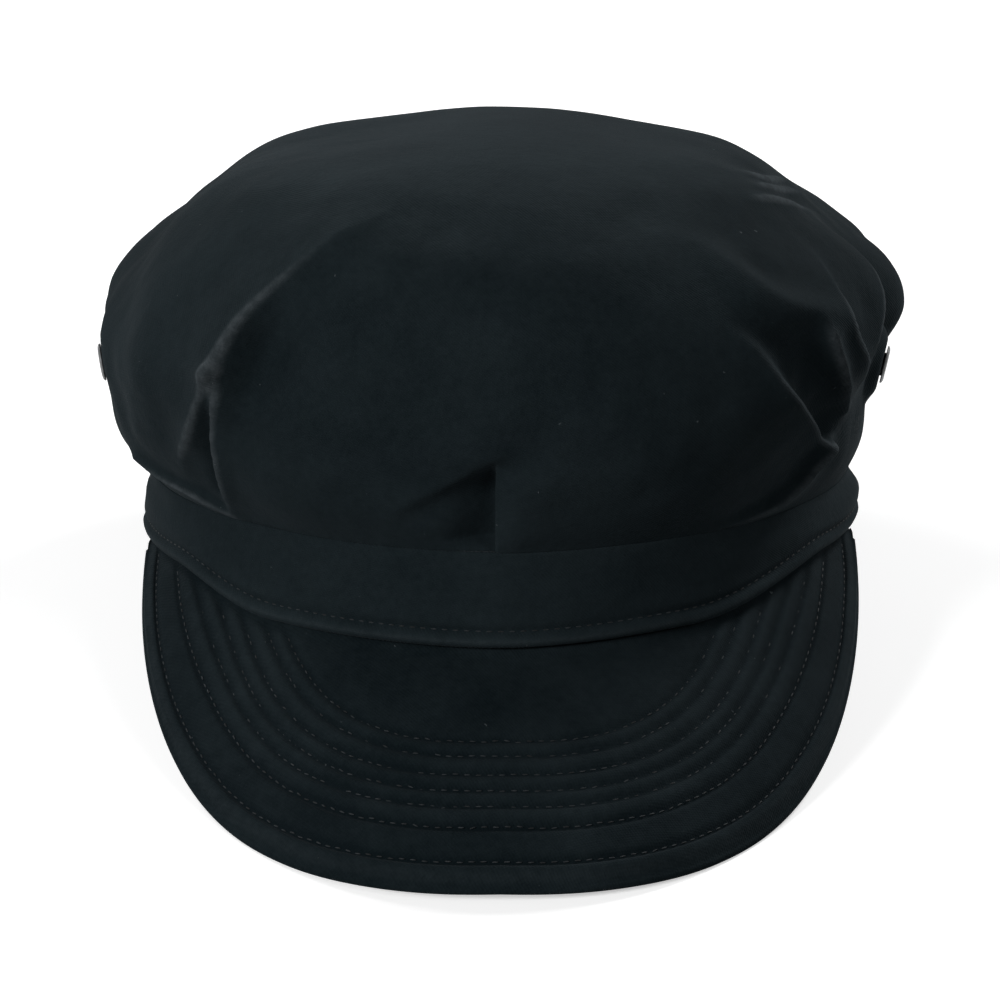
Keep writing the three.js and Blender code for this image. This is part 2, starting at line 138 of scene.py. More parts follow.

# Folds of the crown. Each runs through stations from its top to its foot, given by the angle
# round the cap (0 at the front, positive to the right as seen from there) and the share of the
# way up. rise is how far the cloth stands out along the stations, sides (left, right) how quickly
# it falls away, dips how deep the cloth sinks beyond each side, and the last how strongly its
# crest is coloured: paler on a ridge, as rubbed wear and a painted highlight, and darker in a
# valley, as painted shade.
FOLD_COLUMNS = ("angle", "up", "rise", "sides", "dips", "worn_and_painted_light")
FOLD_TABLE = {
    "left_ridge": (
        (-19, -25, -31, -35.8, -37.8, -38.8), (0.7, 0.64, 0.56, 0.483, 0.43, 0.378),
        (0.3, 1.2, 2.2, 3.0, 3.5, 3.5), (8.0, 2.6), (0.0, 2.4), 1.0),
    "left_outer_leg": (
        (-38.8, -40.6, -43.2, -46.2, -49.2, -52), (0.378, 0.325, 0.273, 0.217, 0.185, 0.14),
        (2.4, 3.2, 3.2, 3.0, 2.4, 0.6), (5.0, 1.8), (0.3, 0.0), 1.0),
    "left_inner_leg": (
        (-38.8, -38.4, -39.4, -40.4, -41.3, -42.4, -45.0), (0.372, 0.33, 0.29, 0.25, 0.193, 0.133, 0.02),
        (1.6, 2.8, 3.0, 3.0, 2.8, 2.4, 1.4), (1.6, 3.0), (0.0, 1.0), 1.0),
    "left_leg_valley": (
        (-39.6, -40.8, -42.2, -43.5, -45.6), (0.34, 0.29, 0.24, 0.19, 0.1),
        (-0.8, -2.6, -3.6, -3.4, -1.8), (1.7, 1.5), (0.0, 0.0), 1.0),
    "left_hollow": (
        (-27.5, -31.5, -33.8, -34.4, -34.5), (0.5, 0.455, 0.41, 0.355, 0.28),
        (-0.6, -3.0, -4.8, -4.4, -1.6), (3.6, 9.5), (0.0, 0.0), 1.0),
    "left_shoulder": (
        (-44, -54, -56.5, -57.5), (0.76, 0.56, 0.46, 0.3),
        (0.6, 1.3, 1.3, 0.7), (9.0, 8.0), (0.3, 0.4), 1.0),
    "left_side_dip": (
        (-100, -84, -76, -72), (0.72, 0.6, 0.5, 0.36),
        (-0.8, -2.2, -1.6, -0.5), (12.0, 9.0), (0.0, 0.0), 1.0),
    "left_back_ridge": (
        (-92, -79, -72, -68), (0.5, 0.42, 0.3, 0.16),
        (0.4, 1.3, 1.4, 0.6), (6.0, 5.0), (0.3, 0.3), 1.0),
    "front_left_dent": (
        (-28, -25, -21), (0.36, 0.29, 0.2),
        (-0.6, -1.4, -0.9), (11.0, 11.0), (0.0, 0.0), 1.0),
    "right_ridge": (
        (31, 35, 39.5, 44, 49, 53.4), (0.468, 0.42, 0.345, 0.29, 0.235, 0.19),
        (0.2, 1.8, 2.8, 3.2, 3.7, 3.9), (6.5, 1.8), (0.6, 2.6), 1.0),
    "right_valley": (
        (39, 44.5, 48, 52.5), (0.455, 0.4, 0.33, 0.25),
        (-0.6, -2.4, -2.9, -1.8), (6.0, 6.0), (0.0, 0.0), 1.0),
    "right_shelf": (
        (30, 34.5, 37.5, 41, 45.5, 51), (0.635, 0.585, 0.54, 0.505, 0.483, 0.465),
        (0.5, 1.8, 2.8, 3.0, 2.8, 2.0), (6.5, 3.5), (0.3, 1.8), 1.0),
    "right_back_ridge": (
        (57.2, 55.4, 56.6, 59.5, 63), (0.555, 0.475, 0.41, 0.36, 0.31),
        (0.5, 2.4, 3.4, 3.4, 1.6), (5.0, 2.4), (0.2, 2.4), 1.0),
    "right_pinch": (
        (48.6, 50, 52, 55.2, 60), (0.455, 0.42, 0.375, 0.312, 0.24),
        (0.8, 2.6, 3.0, 2.8, 1.6), (1.8, 3.2), (1.2, 0.0), 1.0),
    "right_dimple": (
        (64, 66, 67), (0.5, 0.44, 0.4),
        (-0.8, -1.4, -0.4), (5.0, 5.0), (0.0, 0.0), 1.0),
    "right_edge": (
        (76, 74.5, 72, 70), (0.55, 0.46, 0.4, 0.34),
        (0.8, 1.8, 1.8, 1.0), (5.0, 3.0), (0.0, 0.6), 1.0),
    "right_edge_valley": (
        (80, 83, 87, 92), (0.57, 0.47, 0.36, 0.2),
        (-0.8, -2.8, -2.4, -1.2), (5.0, 6.0), (0.0, 0.0), 1.0),
    "right_lobe": (
        (101, 98, 98, 99), (0.5, 0.435, 0.365, 0.29),
        (2.0, 6.2, 7.4, 4.6), (8.5, 10.0), (0.0, 0.0), 1.0),
    "right_rim": (
        (18, 45, 60, 74), (0.8, 0.73, 0.69, 0.64),
        (0.3, 1.4, 1.4, 0.2), (9.0, 11.0), (0.0, 0.4), 1.0),
    "right_hem": (
        (55.4, 53, 51.8, 47, 41, 33), (0.18, 0.14, 0.09, 0.035, 0.015, 0.0),
        (3.4, 3.4, 3.2, 3.0, 2.2, 0.8), (2.0, 5.5), (1.6, 0.0), 1.0),
    "left_hem": (
        (-68, -60, -53, -49, -44), (0.11, 0.075, 0.06, 0.03, 0.0),
        (1.4, 2.6, 3.0, 3.0, 1.4), (4.0, 1.8), (0.0, 1.2), 1.0),
    "front_drag": (
        (-1.0, -3.8, -7.6, -11.8, -15.5), (0.236, 0.21, 0.178, 0.14, 0.09),
        (0.7, 1.0, 0.9, 0.5, 0.1), (6.0, 1.8), (0.0, 2.0), 0.0),
    "left_far_edge": (
        (-100, -94, -92), (0.52, 0.46, 0.4),
        (1.4, 2.8, 1.6), (6.0, 6.0), (0.0, 0.0), 1.0),
    "front_hollow": (
        (-1.4, -2.4, -3.2), (0.2, 0.12, 0.04),
        (-0.6, -2.4, -2.8), (3.6, 3.6), (0.0, 0.0), 1.0),
    "wrinkle_high": (
        (62, 71, 80, 95), (0.735, 0.72, 0.69, 0.655),
        (0.1, 0.8, 0.9, 0.2), (1.3, 1.3), (0.6, 0.6), 1.25),
    "wrinkle_middle": (
        (58, 66.8, 78, 94), (0.70, 0.69, 0.668, 0.62),
        (0.1, 0.9, 1.0, 0.2), (1.3, 1.3), (0.6, 0.6), 1.25),
    "wrinkle_low": (
        (50, 58, 68, 84), (0.685, 0.67, 0.645, 0.6),
        (0.1, 0.8, 1.0, 0.2), (1.4, 1.4), (0.6, 0.6), 1.25),
}
FOLDS = {name: dict(zip(FOLD_COLUMNS, row)) for name, row in FOLD_TABLE.items()}

# How folds are worked out: segments along a path, the radius of a crease, the narrowest side
# from which a fold is soft, and the width of its coloured crest: rubbed wear and a painted
# highlight on a ridge, and painted shade in a valley.
FOLD_STEPS = 16
CREASE_RADIUS = 1.0
SHARP_BELOW = 3.4
CREST_WIDTH = 1.9
SOFT_SPREAD = 1.5
DIP_SPREAD = {"share": 2.4, "least": 2.0, "fades": 2.4}
# How much the folds' crests and rise go into the cloth's colour. Crests count as rubbed wear and a painted
# highlight on ridges, and as painted shade in valleys. The rise counts as painted light on raised cloth and
# painted shade on sunk cloth.
WEAR_AND_PAINTED_LIGHT = {"crest": 0.85, "rise": 0.06}

# Low, wide unevenness of soft cloth: its wavelengths, the height of the widest, how fast the
# narrower ones get lower, how many waves of each, and where it is held by the seam and the top.
SLACK = {"height": 0.42, "wavelengths": (90.0, 62.0, 44.0, 30.0, 21.0, 14.0, 9.0), "fall": 1.15,
         "waves": 6, "seed": 41, "at_seam": 0.25, "free_above": 0.15, "top_from": 0.6, "top_full": 0.88,
         "top_held": 0.85}

# The crown's mesh: columns are closer together at the front, and rows near the seam. Folds fade
# into the seam and the top, and lift the cloth upwards where the crown turns level.
FRONT_DENSITY = 0.36
ROW_SPREAD = 1.08
SIDE_GIRTH = 98.0
INNER_REACH = 3
HELD = {"at_seam": 0.35, "seam_from": -0.01, "seam_to": 0.05, "top_from": 0.86}
TILT = {"from": 0.45, "over": 0.45, "degrees": 80.0}
TOP_PATTERN = {"from": 0.5, "full": 0.72}

# Tucks sewn into the seam: where, how far up they stay folded, how far the upper cloth laps
# out and slides over, how deep the lower cloth sinks, and which side lies on top.
TUCKS = {
    "front": {"angle": -0.5, "top": 0.245, "lap": 2.2, "slide": 1.4, "sink": 4.6, "over": 1},
    "left_side": {"angle": -102, "top": 0.3, "lap": 1.6, "slide": 1.0, "sink": 2.4, "over": -1},
    "right_side": {"angle": 104, "top": 0.3, "lap": 1.6, "slide": 1.0, "sink": 2.4, "over": 1},
    "left_rear": {"angle": -130, "top": 0.34, "lap": 1.8, "slide": 1.0, "sink": 2.6, "over": -1},
    "right_rear": {"angle": 128, "top": 0.34, "lap": 1.8, "slide": 1.0, "sink": 2.6, "over": 1},
    "left_back": {"angle": -158, "top": 0.3, "lap": 1.6, "slide": 1.0, "sink": 2.4, "over": -1},
    "right_back": {"angle": 154, "top": 0.3, "lap": 1.6, "slide": 1.0, "sink": 2.4, "over": 1},
}
TUCK_SPREAD = {"over": 11.0, "under": 8.0, "edge": 0.55, "slide": 5.0, "nose": 3.4, "nose_depth": 0.75,
               "opens_from": 0.72}

VISOR = {"left": 88.3, "right": 88.4, "tip": 10.0, "reach": 139.6, "power": 2.3, "thickness": 3.2,
         "edge": 1.8, "camber": 2.2}
VISOR_EDGE_ANGLES = (0, 15, 30, 40, 50, 60, 70, 80, 90)
VISOR_EDGE_HEIGHTS = {
    "left": (2.2, 1.3, 0.1, 0.0, 1.5, 4.8, 9.4, 14.6, 19.4),
    "right": (2.2, 1.3, 0.1, 0.0, 1.5, 5.0, 10.4, 17.0, 22.6),
}
VISOR_ROOT = {"tucked_under": 2.0, "root_angle": 86.0, "edge_angle": 89.0, "gap": 0.35, "pressed_in": 0.7}

# The underside rises to the top at the visor's tips, over this share of its width.
VISOR_TIP = {"raised": 0.65, "over": 0.07}

# The visor's mesh: columns, rows over its top, down its edge and along its underside.
VISOR_MESH = {"columns": 300, "top_rows": 96, "top_spread": 0.85, "edge": (0.86, 0.5, 0.14),
              "under_rows": 20, "under_from": 0.99}
# Where the visor thins to its edge, and how far the edge bulges out beyond its outermost share.
VISOR_ROUNDED = {"from": 0.95, "edge_bulge": 0.55, "beyond": 0.995}

# Rows of stitching on the visor: distance in from the outer edge, in millimetres.
STITCH_ROWS = (5.2, 13.8, 18.9, 23.0, 27.2, 32.0, 36.0)
# How deep the thread lies in the groove, how much deeper at the visor's sides, and how unevenly.
STITCH_SINK = {"middle": 0.38, "sides": 0.3, "lowest": -0.22, "highest": 0.08, "tilt": 0.06, "seed": 7}
STITCH_SHAPE = {"length": 0.55, "height": 0.8, "u_segments": 6, "v_segments": 5}
STITCH_FACING = (0.0, -0.25, 1.0)
# The lattice of the visor's top on which the rows are found.
STITCH_SEARCH = {"across": 900, "reach": 0.97, "out": 260}
# The rows draw together towards the visor's tips, from this share across it.
ROWS_DRAWN = {"by": 0.25, "from": 0.5, "full": 0.95}
# Relief of the visor's top by the distance in from its edge: the rolled edge, the padded rows
# and the grooves, all fading towards the edge and the root.
VISOR_RELIEF = {
    "roll": 0.35, "roll_at": 2.9, "roll_width": 2.2,
    "padding": 0.4, "padded_from": (13.0, 17.0), "padded_to": (35.0, 39.0),
    "groove": 0.95, "groove_width": 1.05, "off_edge": (0.0, 1.2), "off_root": (1.0, 6.0)}
VISOR_SEWN_IN = (1.0, 3.5)
# The visor's colour is paler at its edge, as rubbed wear and a painted highlight, fading over this range in
# from the edge.
VISOR_EDGE_WEAR_AND_HIGHLIGHT = {"edge": 0.3, "edge_from": 0.5, "edge_to": 4.0}
EDGE_STEPS = 721
EDGE_BLOCK = 4000

EYELETS = {"eyelet_left": (-83.0, 0.285), "eyelet_right": (79.0, 0.29)}
EYELET = {"bore": 2.3, "barrel": 2.9, "flange": 4.7, "rim": 0.5, "clearance": 0.4}
EYELET_COLUMNS = 56
# The eyelet's back washer and domed face: share of the flange's radius, share of the rim's height.
EYELET_BACK = ((0.9, -1.0), (0.92, -0.5), (0.9, 0.0))
EYELET_FACE = ((0.97, 0.0), (1.0, 0.3), (0.985, 0.75), (0.93, 1.15), (0.85, 1.45), (0.75, 1.6), (0.65, 1.5),
               (0.56, 1.15))
# Where the faces turn into the bore: how far out of it, share of the rim's height.
EYELET_MOUTHS = {"back": ((0.0, -0.9), (0.3, -1.0)), "face": ((0.15, 0.6), (0.0, 0.0))}
# The crown is pressed flat round an eyelet, and a hole is punched through each of its two faces.
PRESSED = {"flat_within": 6.0, "free_beyond": 12.0, "depth": 14.0}
PUNCH = {"within": 9.0, "outer_face": 3.4, "inner_face": 4.6}


# ---- The cloth's finish

# The weave: the wale's pitch in metres, its lines' slope and its share of the weave, then the
# yarns' slope and the share of the wale's pitch that parts them.
TWILL = {"pitch": 0.00085, "wale_slope": 0.9, "wale": 0.6, "yarn_slope": 0.35, "yarn_share": 0.62}
# The dye's shade and the cloth's relief: how much of each pattern goes into them. The wear value in the shade
# also carries painted highlights and painted shade.
SHADE = {"cloudy": 0.8, "blotch": 0.6, "mottle": 0.5, "wear_and_painted_light": 0.3, "weave": 0.05, "fuzz": 0.3}
RELIEF = {"weave": 0.11, "mottle": 0.6, "fuzz": 0.35, "blotch": 0.8, "lint": 0.5}
# Rubbed cloth and painted highlights: how high the wear value is where the cloth starts to pale, and how
# broken up the paler colour is.
RUBBED_AND_HIGHLIT = {"worn_and_painted_light": (0.32, 1.0), "broken": (0.35, 0.7), "broken_share": 0.5}
# Lint: specks in cells of one scale, chosen in patches of another, ragged at their edges.
LINT = {"scale": 210.0, "size": (0.02, 0.07), "patches": 190.0, "chosen": (0.56, 0.64),
        "ragged": (0.0016, 0.0016, 0.0016), "cover": 0.75}


# ---- The stage, in metres, watts and millimetres of lens

LAMPS = {
    "key": {"place": (-1.0, -0.98, 0.71), "watts": 14.2},
    "side": {"place": (-0.95, 0.96, 0.83), "watts": 8.0},
    "back": {"place": (0.95, 0.96, 0.9), "watts": 15.0},
    "fill": {"place": (0.9, -0.88, 0.95), "watts": 3.0},
}
LAMP_SIZE = 0.5
ROOM = {"colour": (0.96, 0.98, 1.0, 1.0), "strength": 0.055}
FLOOR_REACH = 6.0
AIM_HEIGHT = 0.0277
SENSOR_WIDTH = 36.0


# ---- Small helpers

def smoothstep(value, low, high):
    share = np.clip((value - low) / (high - low), 0.0, 1.0)
    return share * share * (3.0 - 2.0 * share)


def from_table(places, values, at):
    """A table's values at places between its rows, eased from row to row."""
    places = np.array(places, float)
    values = np.array(values, float)
    row = np.clip(np.searchsorted(places, at) - 1, 0, len(places) - 2)
    share = smoothstep((at - places[row]) / (places[row + 1] - places[row]), 0.0, 1.0)
    return values[row] + (values[row + 1] - values[row]) * share


def through_table(places, values, at):
    """A table's values at places between its rows, on one smooth curve through them all."""
    places = np.array(places, float)
    values = np.array(values, float)
    slopes = np.gradient(values, places)
    row = np.clip(np.searchsorted(places, at) - 1, 0, len(places) - 2)
    width = places[row + 1] - places[row]
    share = np.clip((at - places[row]) / width, 0.0, 1.0)
    blend = share * share * (3.0 - 2.0 * share)
    bend = share * (1.0 - share) * ((1.0 - share) * slopes[row] - share * slopes[row + 1])
    return values[row] + (values[row + 1] - values[row]) * blend + width * bend


def along(stations, share):
    """The values of evenly spaced stations, joined smoothly, at shares from 0 to 1."""
    count = len(stations)
    padded = np.concatenate(([2 * stations[0] - stations[1]], stations, [2 * stations[-1] - stations[-2]]))
    place = np.clip(np.asarray(share, float), 0.0, 1.0) * (count - 1)
    row = np.minimum(place.astype(int), count - 2)
    part = place - row
    before, low, high, after = (padded[row + step] for step in range(4))
    curve = 2 * low + (high - before) * part + (2 * before - 5 * low + 4 * high - after) * part**2
    return 0.5 * (curve + (3 * low - before - 3 * high + after) * part**3)


def round_cap(across):
    """The angle from the front, closer together there, for places from -1 to 1 across a grid."""
    return across * math.pi - FRONT_DENSITY * np.sin(across * math.pi)


def from_pole(angle, reach, height):
    return np.stack([reach * np.sin(angle), -reach * np.cos(angle), height], axis=-1)


def stand(points):
    """From the cap's frame to the table: lean back, lift, and let the back of the band lie flat."""
    sine, cosine = math.sin(LEAN), math.cos(LEAN)
    x, y, z = np.moveaxis(points, -1, 0)
    foot = LIFT - y * sine
    soft = FLATTEN["softness"]
    rise = np.where(np.abs(foot) < soft, (soft - foot) ** 2 / (4 * soft), np.maximum(-foot, 0.0))
    share = 1.0 - smoothstep(z, FLATTEN["full_below"], FLATTEN["none_above"])
    back = y * cosine + z * sine + CENTRE_SHIFT
    return np.stack([x, back, z * cosine - y * sine + LIFT + rise * share], axis=-1)


def plan_reach(angle, left, right, front, back, front_power, back_power):
    """Reach of a superellipse with its own half axis each way, at an angle from the front."""
    across = np.abs(np.sin(angle)) / np.where(np.sin(angle) < 0, left, right)
    ahead = np.abs(np.cos(angle)) / np.where(np.cos(angle) > 0, front, back)
    power = np.where(np.cos(angle) > 0, front_power, back_power)
    return (across**power + ahead**power) ** (-1.0 / power)


# ---- The band's surface

def band_points(angle, outward, height):
    reach = plan_reach(
        angle, HEAD["half_width"] + outward, HEAD["half_width"] + outward,
        HEAD["front"] + outward, HEAD["back"] + outward, HEAD["front_power"], HEAD["back_power"])
    push = np.where(np.sin(angle) < 0, BAND_BULGE["left"], BAND_BULGE["right"])
    low = np.exp(-(((height - BAND_BULGE["highest"]) / BAND_BULGE["reach"]) ** 2))
    below_seam = smoothstep(BAND["height"] - height, 0.0, BAND_BULGE["below_seam"])
    bulge = push * low * (smoothstep(height, 0.0, BAND["roll_height"]) * below_seam)
    rise = from_table(FOOT_RISE_ANGLES, FOOT_RISES, np.degrees(angle))
    drawn = np.clip((BAND["height"] - height) / FOOT_RISES_BELOW, 0.0, 1.0)
    return from_pole(angle, reach + bulge * np.sin(angle) ** BAND_BULGE["power"], height + rise * drawn)


# ---- The crown's surface

def crown_section(up):
    """The crown's section at a share of the way up, by the columns of the table."""
    mirrored = CROWN_SECTIONS[-2] * np.array((1, -1, -1, -1, -1))
    rows = np.vstack((2 * CROWN_SECTIONS[0] - CROWN_SECTIONS[1], CROWN_SECTIONS, mirrored))
    last = len(CROWN_SECTIONS) - 1
    place = np.clip(up, 0.0, 1.0) * last
    row = np.minimum(place.astype(int), last - 1)
    part = (place - row)[..., None]
    before, low, high, after = (rows[row + step] for step in range(4))
    curve = 2 * low + (high - before) * part + (2 * before - 5 * low + 4 * high - after) * part**2
    curve = 0.5 * (curve + (3 * low - before - 3 * high + after) * part**3)
    return dict(zip(SECTION_COLUMNS, np.moveaxis(curve, -1, 0)))


def crown_base(angle, up):
    """The crown's reach and height without its folds."""
    section = crown_section(up)
    sides = [np.maximum(section[side], 1e-4) for side in SECTION_COLUMNS[1:]]
    rounded = np.clip((section["height"] - BAND["height"]) / CROWN_POWER_HEIGHT, 0.0, 1.0)
    front_power = HEAD["front_power"] + (CROWN_POWER - HEAD["front_power"]) * rounded
    back_power = HEAD["back_power"] + (CROWN_POWER - HEAD["back_power"]) * rounded
    return plan_reach(angle, *sides, front_power, back_power), section["height"]


def fold_rise(fold, angle, up, reach):
    """How far one fold moves the cloth out, and how near its crest each place is; the crest is painted paler
    on a ridge, as rubbed wear and a painted highlight, and darker in a valley, as painted shade.
    """
    shares = np.linspace(0.0, 1.0, FOLD_STEPS + 1)
    path = np.stack((np.radians(along(fold["angle"], shares)), along(fold["up"], shares)), axis=-1)
    nearest = np.full(angle.shape, np.inf)
    leaning = np.zeros(angle.shape)
    place = np.zeros(angle.shape)
    for step in range(FOLD_STEPS):
        start = (path[step] - np.stack((angle, up), axis=-1)) * np.stack(
            (reach, np.full_like(reach, CROWN_RISE_LENGTH)), axis=-1)
        stop = (path[step + 1] - np.stack((angle, up), axis=-1)) * np.stack(
            (reach, np.full_like(reach, CROWN_RISE_LENGTH)), axis=-1)
        run = stop - start
        part = np.clip(-(start * run).sum(-1) / np.maximum((run * run).sum(-1), 1e-9), 0.0, 1.0)
        gap = -(start + run * part[..., None])
        distance = np.hypot(gap[..., 0], gap[..., 1])
        closer = distance < nearest
        nearest = np.where(closer, distance, nearest)
        turn = run[..., 0] * gap[..., 1] - run[..., 1] * gap[..., 0]
        scale = np.maximum(np.hypot(run[..., 0], run[..., 1]) * distance, 1e-9)
        leaning = np.where(closer, turn / scale, leaning)
        place = np.where(closer, (step + part) / FOLD_STEPS, place)
    left, right = fold["sides"]
    left_dip, right_dip = fold["dips"]
    rightward = 0.5 + 0.5 * leaning
    width = left + (right - left) * rightward
    dip = left_dip + (right_dip - left_dip) * rightward
    softened = np.sqrt(nearest**2 + CREASE_RADIUS**2) - CREASE_RADIUS
    rise = along(fold["rise"], place)
    strength = np.abs(rise) / max(np.abs(fold["rise"]))
    sharp = min(fold["sides"]) < SHARP_BELOW
    if sharp:
        ridge = rise * np.exp(-softened / width)
    else:
        ridge = rise * np.exp(-((nearest / (SOFT_SPREAD * width)) ** 2))
    beyond = nearest / (DIP_SPREAD["share"] * width + DIP_SPREAD["least"])
    dipped = dip * strength * beyond * np.exp(1.0 - beyond) * np.exp(-((beyond / DIP_SPREAD["fades"]) ** 2))
    # Paler along a ridge's crest, as rubbed wear and a painted highlight, and darker along a valley's, as
    # painted shade.
    crest = fold["worn_and_painted_light"] * strength * sharp * np.sign(rise) * np.exp(-((nearest / CREST_WIDTH) ** 2))
    return ridge - dipped, crest


def tuck_rise(tuck, angle, up, reach):
    """How far one sewn tuck moves the cloth out, and how far it slides it round."""
    turned = np.angle(np.exp(1j * (angle - math.radians(tuck["angle"]))))
    across = turned * reach * tuck["over"]
    fold_line = 1.0 - smoothstep(up, tuck["top"] * TUCK_SPREAD["opens_from"], tuck["top"])
    edge = 0.5 + 0.5 * np.tanh(across / TUCK_SPREAD["edge"])
    rounded = 1.0 - TUCK_SPREAD["nose_depth"] * np.exp(-((across / TUCK_SPREAD["nose"]) ** 2))
    lap = tuck["lap"] * edge * rounded * np.exp(-np.maximum(across, 0.0) / TUCK_SPREAD["over"])
    sink = tuck["sink"] * (1.0 - edge) * np.exp(np.minimum(across, 0.0) / TUCK_SPREAD["under"])
    near = np.exp(-np.abs(across) / TUCK_SPREAD["slide"])
    return fold_line * (lap - sink), -tuck["over"] * tuck["slide"] * fold_line * near * (2 * edge - 1.0)


def crown_rise(angle, up):
    """How far the folds and tucks move the crown's cloth out and round, and its colour: paler on crests and
    raised cloth, as rubbed wear and painted highlight, and darker in valleys and hollows, as painted shade.
    """
    reach, _ = crown_base(angle, up)
    girth = np.maximum(reach, 1.0)
    rise = np.zeros(angle.shape)
    slide = np.zeros(angle.shape)
    worn_and_painted_light = np.zeros(angle.shape)
    for fold in FOLDS.values():
        lifted, crest = fold_rise(fold, angle, up, girth)
        rise += lifted
        worn_and_painted_light += crest
    for tuck in TUCKS.values():
        lifted, slid = tuck_rise(tuck, angle, up, girth)
        rise += lifted
        slide += slid
    # Raised cloth is painted lighter and sunk cloth darker, as painted light and shade.
    return rise, slide, np.clip(WEAR_AND_PAINTED_LIGHT["crest"] * worn_and_painted_light + WEAR_AND_PAINTED_LIGHT["rise"] * rise, -1.0, 1.0)


def crown_points(angle, up, rise, slide):
    """The crown's cloth in the cap's frame, moved out by rise and round by slide."""
    reach, height = crown_base(angle, up)
    tilt = np.radians(np.clip((up - TILT["from"]) / TILT["over"], 0.0, 1.0) * TILT["degrees"])
    free = smoothstep(up, HELD["seam_from"], HELD["seam_to"])
    off_seam = HELD["at_seam"] + (1.0 - HELD["at_seam"]) * free
    rise = rise * (off_seam * (1.0 - smoothstep(up, HELD["top_from"], 1.0)))
    return from_pole(
        angle + slide / np.maximum(reach, 1.0), reach + rise * np.cos(tilt), height + rise * np.sin(tilt))


def crown_slack(angle, up):
    """The crown's unevenness, in millimetres, the same each time."""
    places = from_pole(angle, *crown_base(angle, up))
    rng = np.random.default_rng(SLACK["seed"])
    total = np.zeros(angle.shape)
    widest = SLACK["wavelengths"][0]
    for wavelength in SLACK["wavelengths"]:
        height = SLACK["height"] * (wavelength / widest) ** SLACK["fall"]
        for _ in range(SLACK["waves"]):
            direction = rng.normal(size=3)
            direction *= 2 * math.pi / (wavelength * np.linalg.norm(direction))
            total += height * np.sin(places @ direction + rng.uniform(0.0, 2 * math.pi))
    off_seam = SLACK["at_seam"] + (1.0 - SLACK["at_seam"]) * smoothstep(up, 0.0, SLACK["free_above"])
    off_top = 1.0 - SLACK["top_held"] * smoothstep(up, SLACK["top_from"], SLACK["top_full"])
    return total * off_seam * off_top


def lowest_around(values, rows, columns):
    """The lowest of a lattice's values within so many rows and columns of each."""
    padded = np.pad(values, ((rows, rows), (columns, columns)), mode="edge")
    for axis, reach in ((0, rows), (1, columns)):
        count = padded.shape[axis] - 2 * reach
        starts = range(2 * reach + 1)
        padded = np.min([np.take(padded, range(start, start + count), axis=axis) for start in starts], axis=0)
    return padded


def eyelet_seat(angle, up):
    """The centre and outward direction of an eyelet on the crown."""
    step = 0.03
    angle = math.radians(angle)
    angles = np.array((angle, angle + step, angle - step, angle, angle))
    ups = np.array((up, up, up, up + step, up - step))
    rise, slide, _ = crown_rise(angles, ups)
    points = stand(crown_points(angles, ups, rise, slide))
    normal = np.cross(points[1] - points[2], points[3] - points[4])
    return points[0], normal / np.linalg.norm(normal)


def seamed(face):
    """A face of the crown whose first and last columns meet in the middle of the back."""
    face[:, 0] = face[:, -1] = (face[:, 0] + face[:, -1]) / 2.0
    return face


def press_flat(points, seats, inward):
    """Presses one face of the cloth, so far inward, level with each eyelet's plane."""
    for centre, normal in seats:
        offset = points - centre
        depth = offset @ normal
        distance = np.linalg.norm(offset - depth[..., None] * normal, axis=-1)
        share = 1.0 - smoothstep(distance, PRESSED["flat_within"], PRESSED["free_beyond"])
        share = np.where(np.abs(depth) < PRESSED["depth"], share, 0.0)
        points = points - ((depth + inward) * share)[..., None] * normal
    return points


# ---- The visor's surface

def visor_edge(angle):
    side = np.sin(angle)
    half_width = np.where(side < 0, VISOR["left"], VISOR["right"])
    x = half_width * np.sign(side) * np.abs(side) ** (2 / VISOR["power"])
    y = -VISOR["tip"] - VISOR["reach"] * np.abs(np.cos(angle)) ** (2 / VISOR["power"]) + CENTRE_SHIFT
    left, right = (
        through_table(VISOR_EDGE_ANGLES, VISOR_EDGE_HEIGHTS[name], np.abs(np.degrees(angle)))
        for name in ("left", "right"))
    return np.stack((x, y, np.where(side < 0, left, right)), axis=-1)


def visor_underside(share, out):
    """A point of the visor's underside: share from -1 to 1 across, out from the root to the edge."""
    angle = share * math.radians(VISOR_ROOT["root_angle"])
    root = stand(band_points(angle, np.full_like(angle, -VISOR_ROOT["tucked_under"]), np.zeros_like(angle)))
    root[..., 2] -= VISOR_ROOT["gap"] + VISOR["thickness"]
    edge = visor_edge(share * math.radians(VISOR_ROOT["edge_angle"]))
    point = root + (edge - root) * out[..., None]
    point[..., 2] += VISOR["camber"] * np.cos(share * math.pi / 2) * np.sin(math.pi * out)
    return point


def edge_distance(points_in, share):
    """How far in from the visor's outer edge each point lies, in millimetres along the front."""
    shares = np.linspace(-1.0, 1.0, EDGE_STEPS)
    edge = visor_edge(shares * math.radians(VISOR_ROOT["edge_angle"]))
    best = np.full(len(points_in), np.inf)
    for start in range(0, len(points_in), EDGE_BLOCK):
        block = slice(start, start + EDGE_BLOCK)
        gaps = np.linalg.norm(points_in[block, None, :] - edge[None, :, :], axis=-1)
        best[block] = gaps.min(axis=1)
    drawn = ROWS_DRAWN["by"] * smoothstep(np.abs(share), ROWS_DRAWN["from"], ROWS_DRAWN["full"])
    return best / (1.0 - drawn)


def visor_relief(distance):
    """How far the visor's top stands out: puffed between the rows, drawn in along them."""
    form = VISOR_RELIEF
    from_rows = (distance[:, None] - np.array(STITCH_ROWS)) / form["groove_width"]
    grooves = np.exp(-(from_rows**2)).sum(axis=1)
    roll = form["roll"] * np.exp(-(((distance - form["roll_at"]) / form["roll_width"]) ** 2))
    padded = smoothstep(distance, *form["padded_from"]) - smoothstep(distance, *form["padded_to"])
    return roll + form["padding"] * padded - form["groove"] * grooves


# ---- Meshes

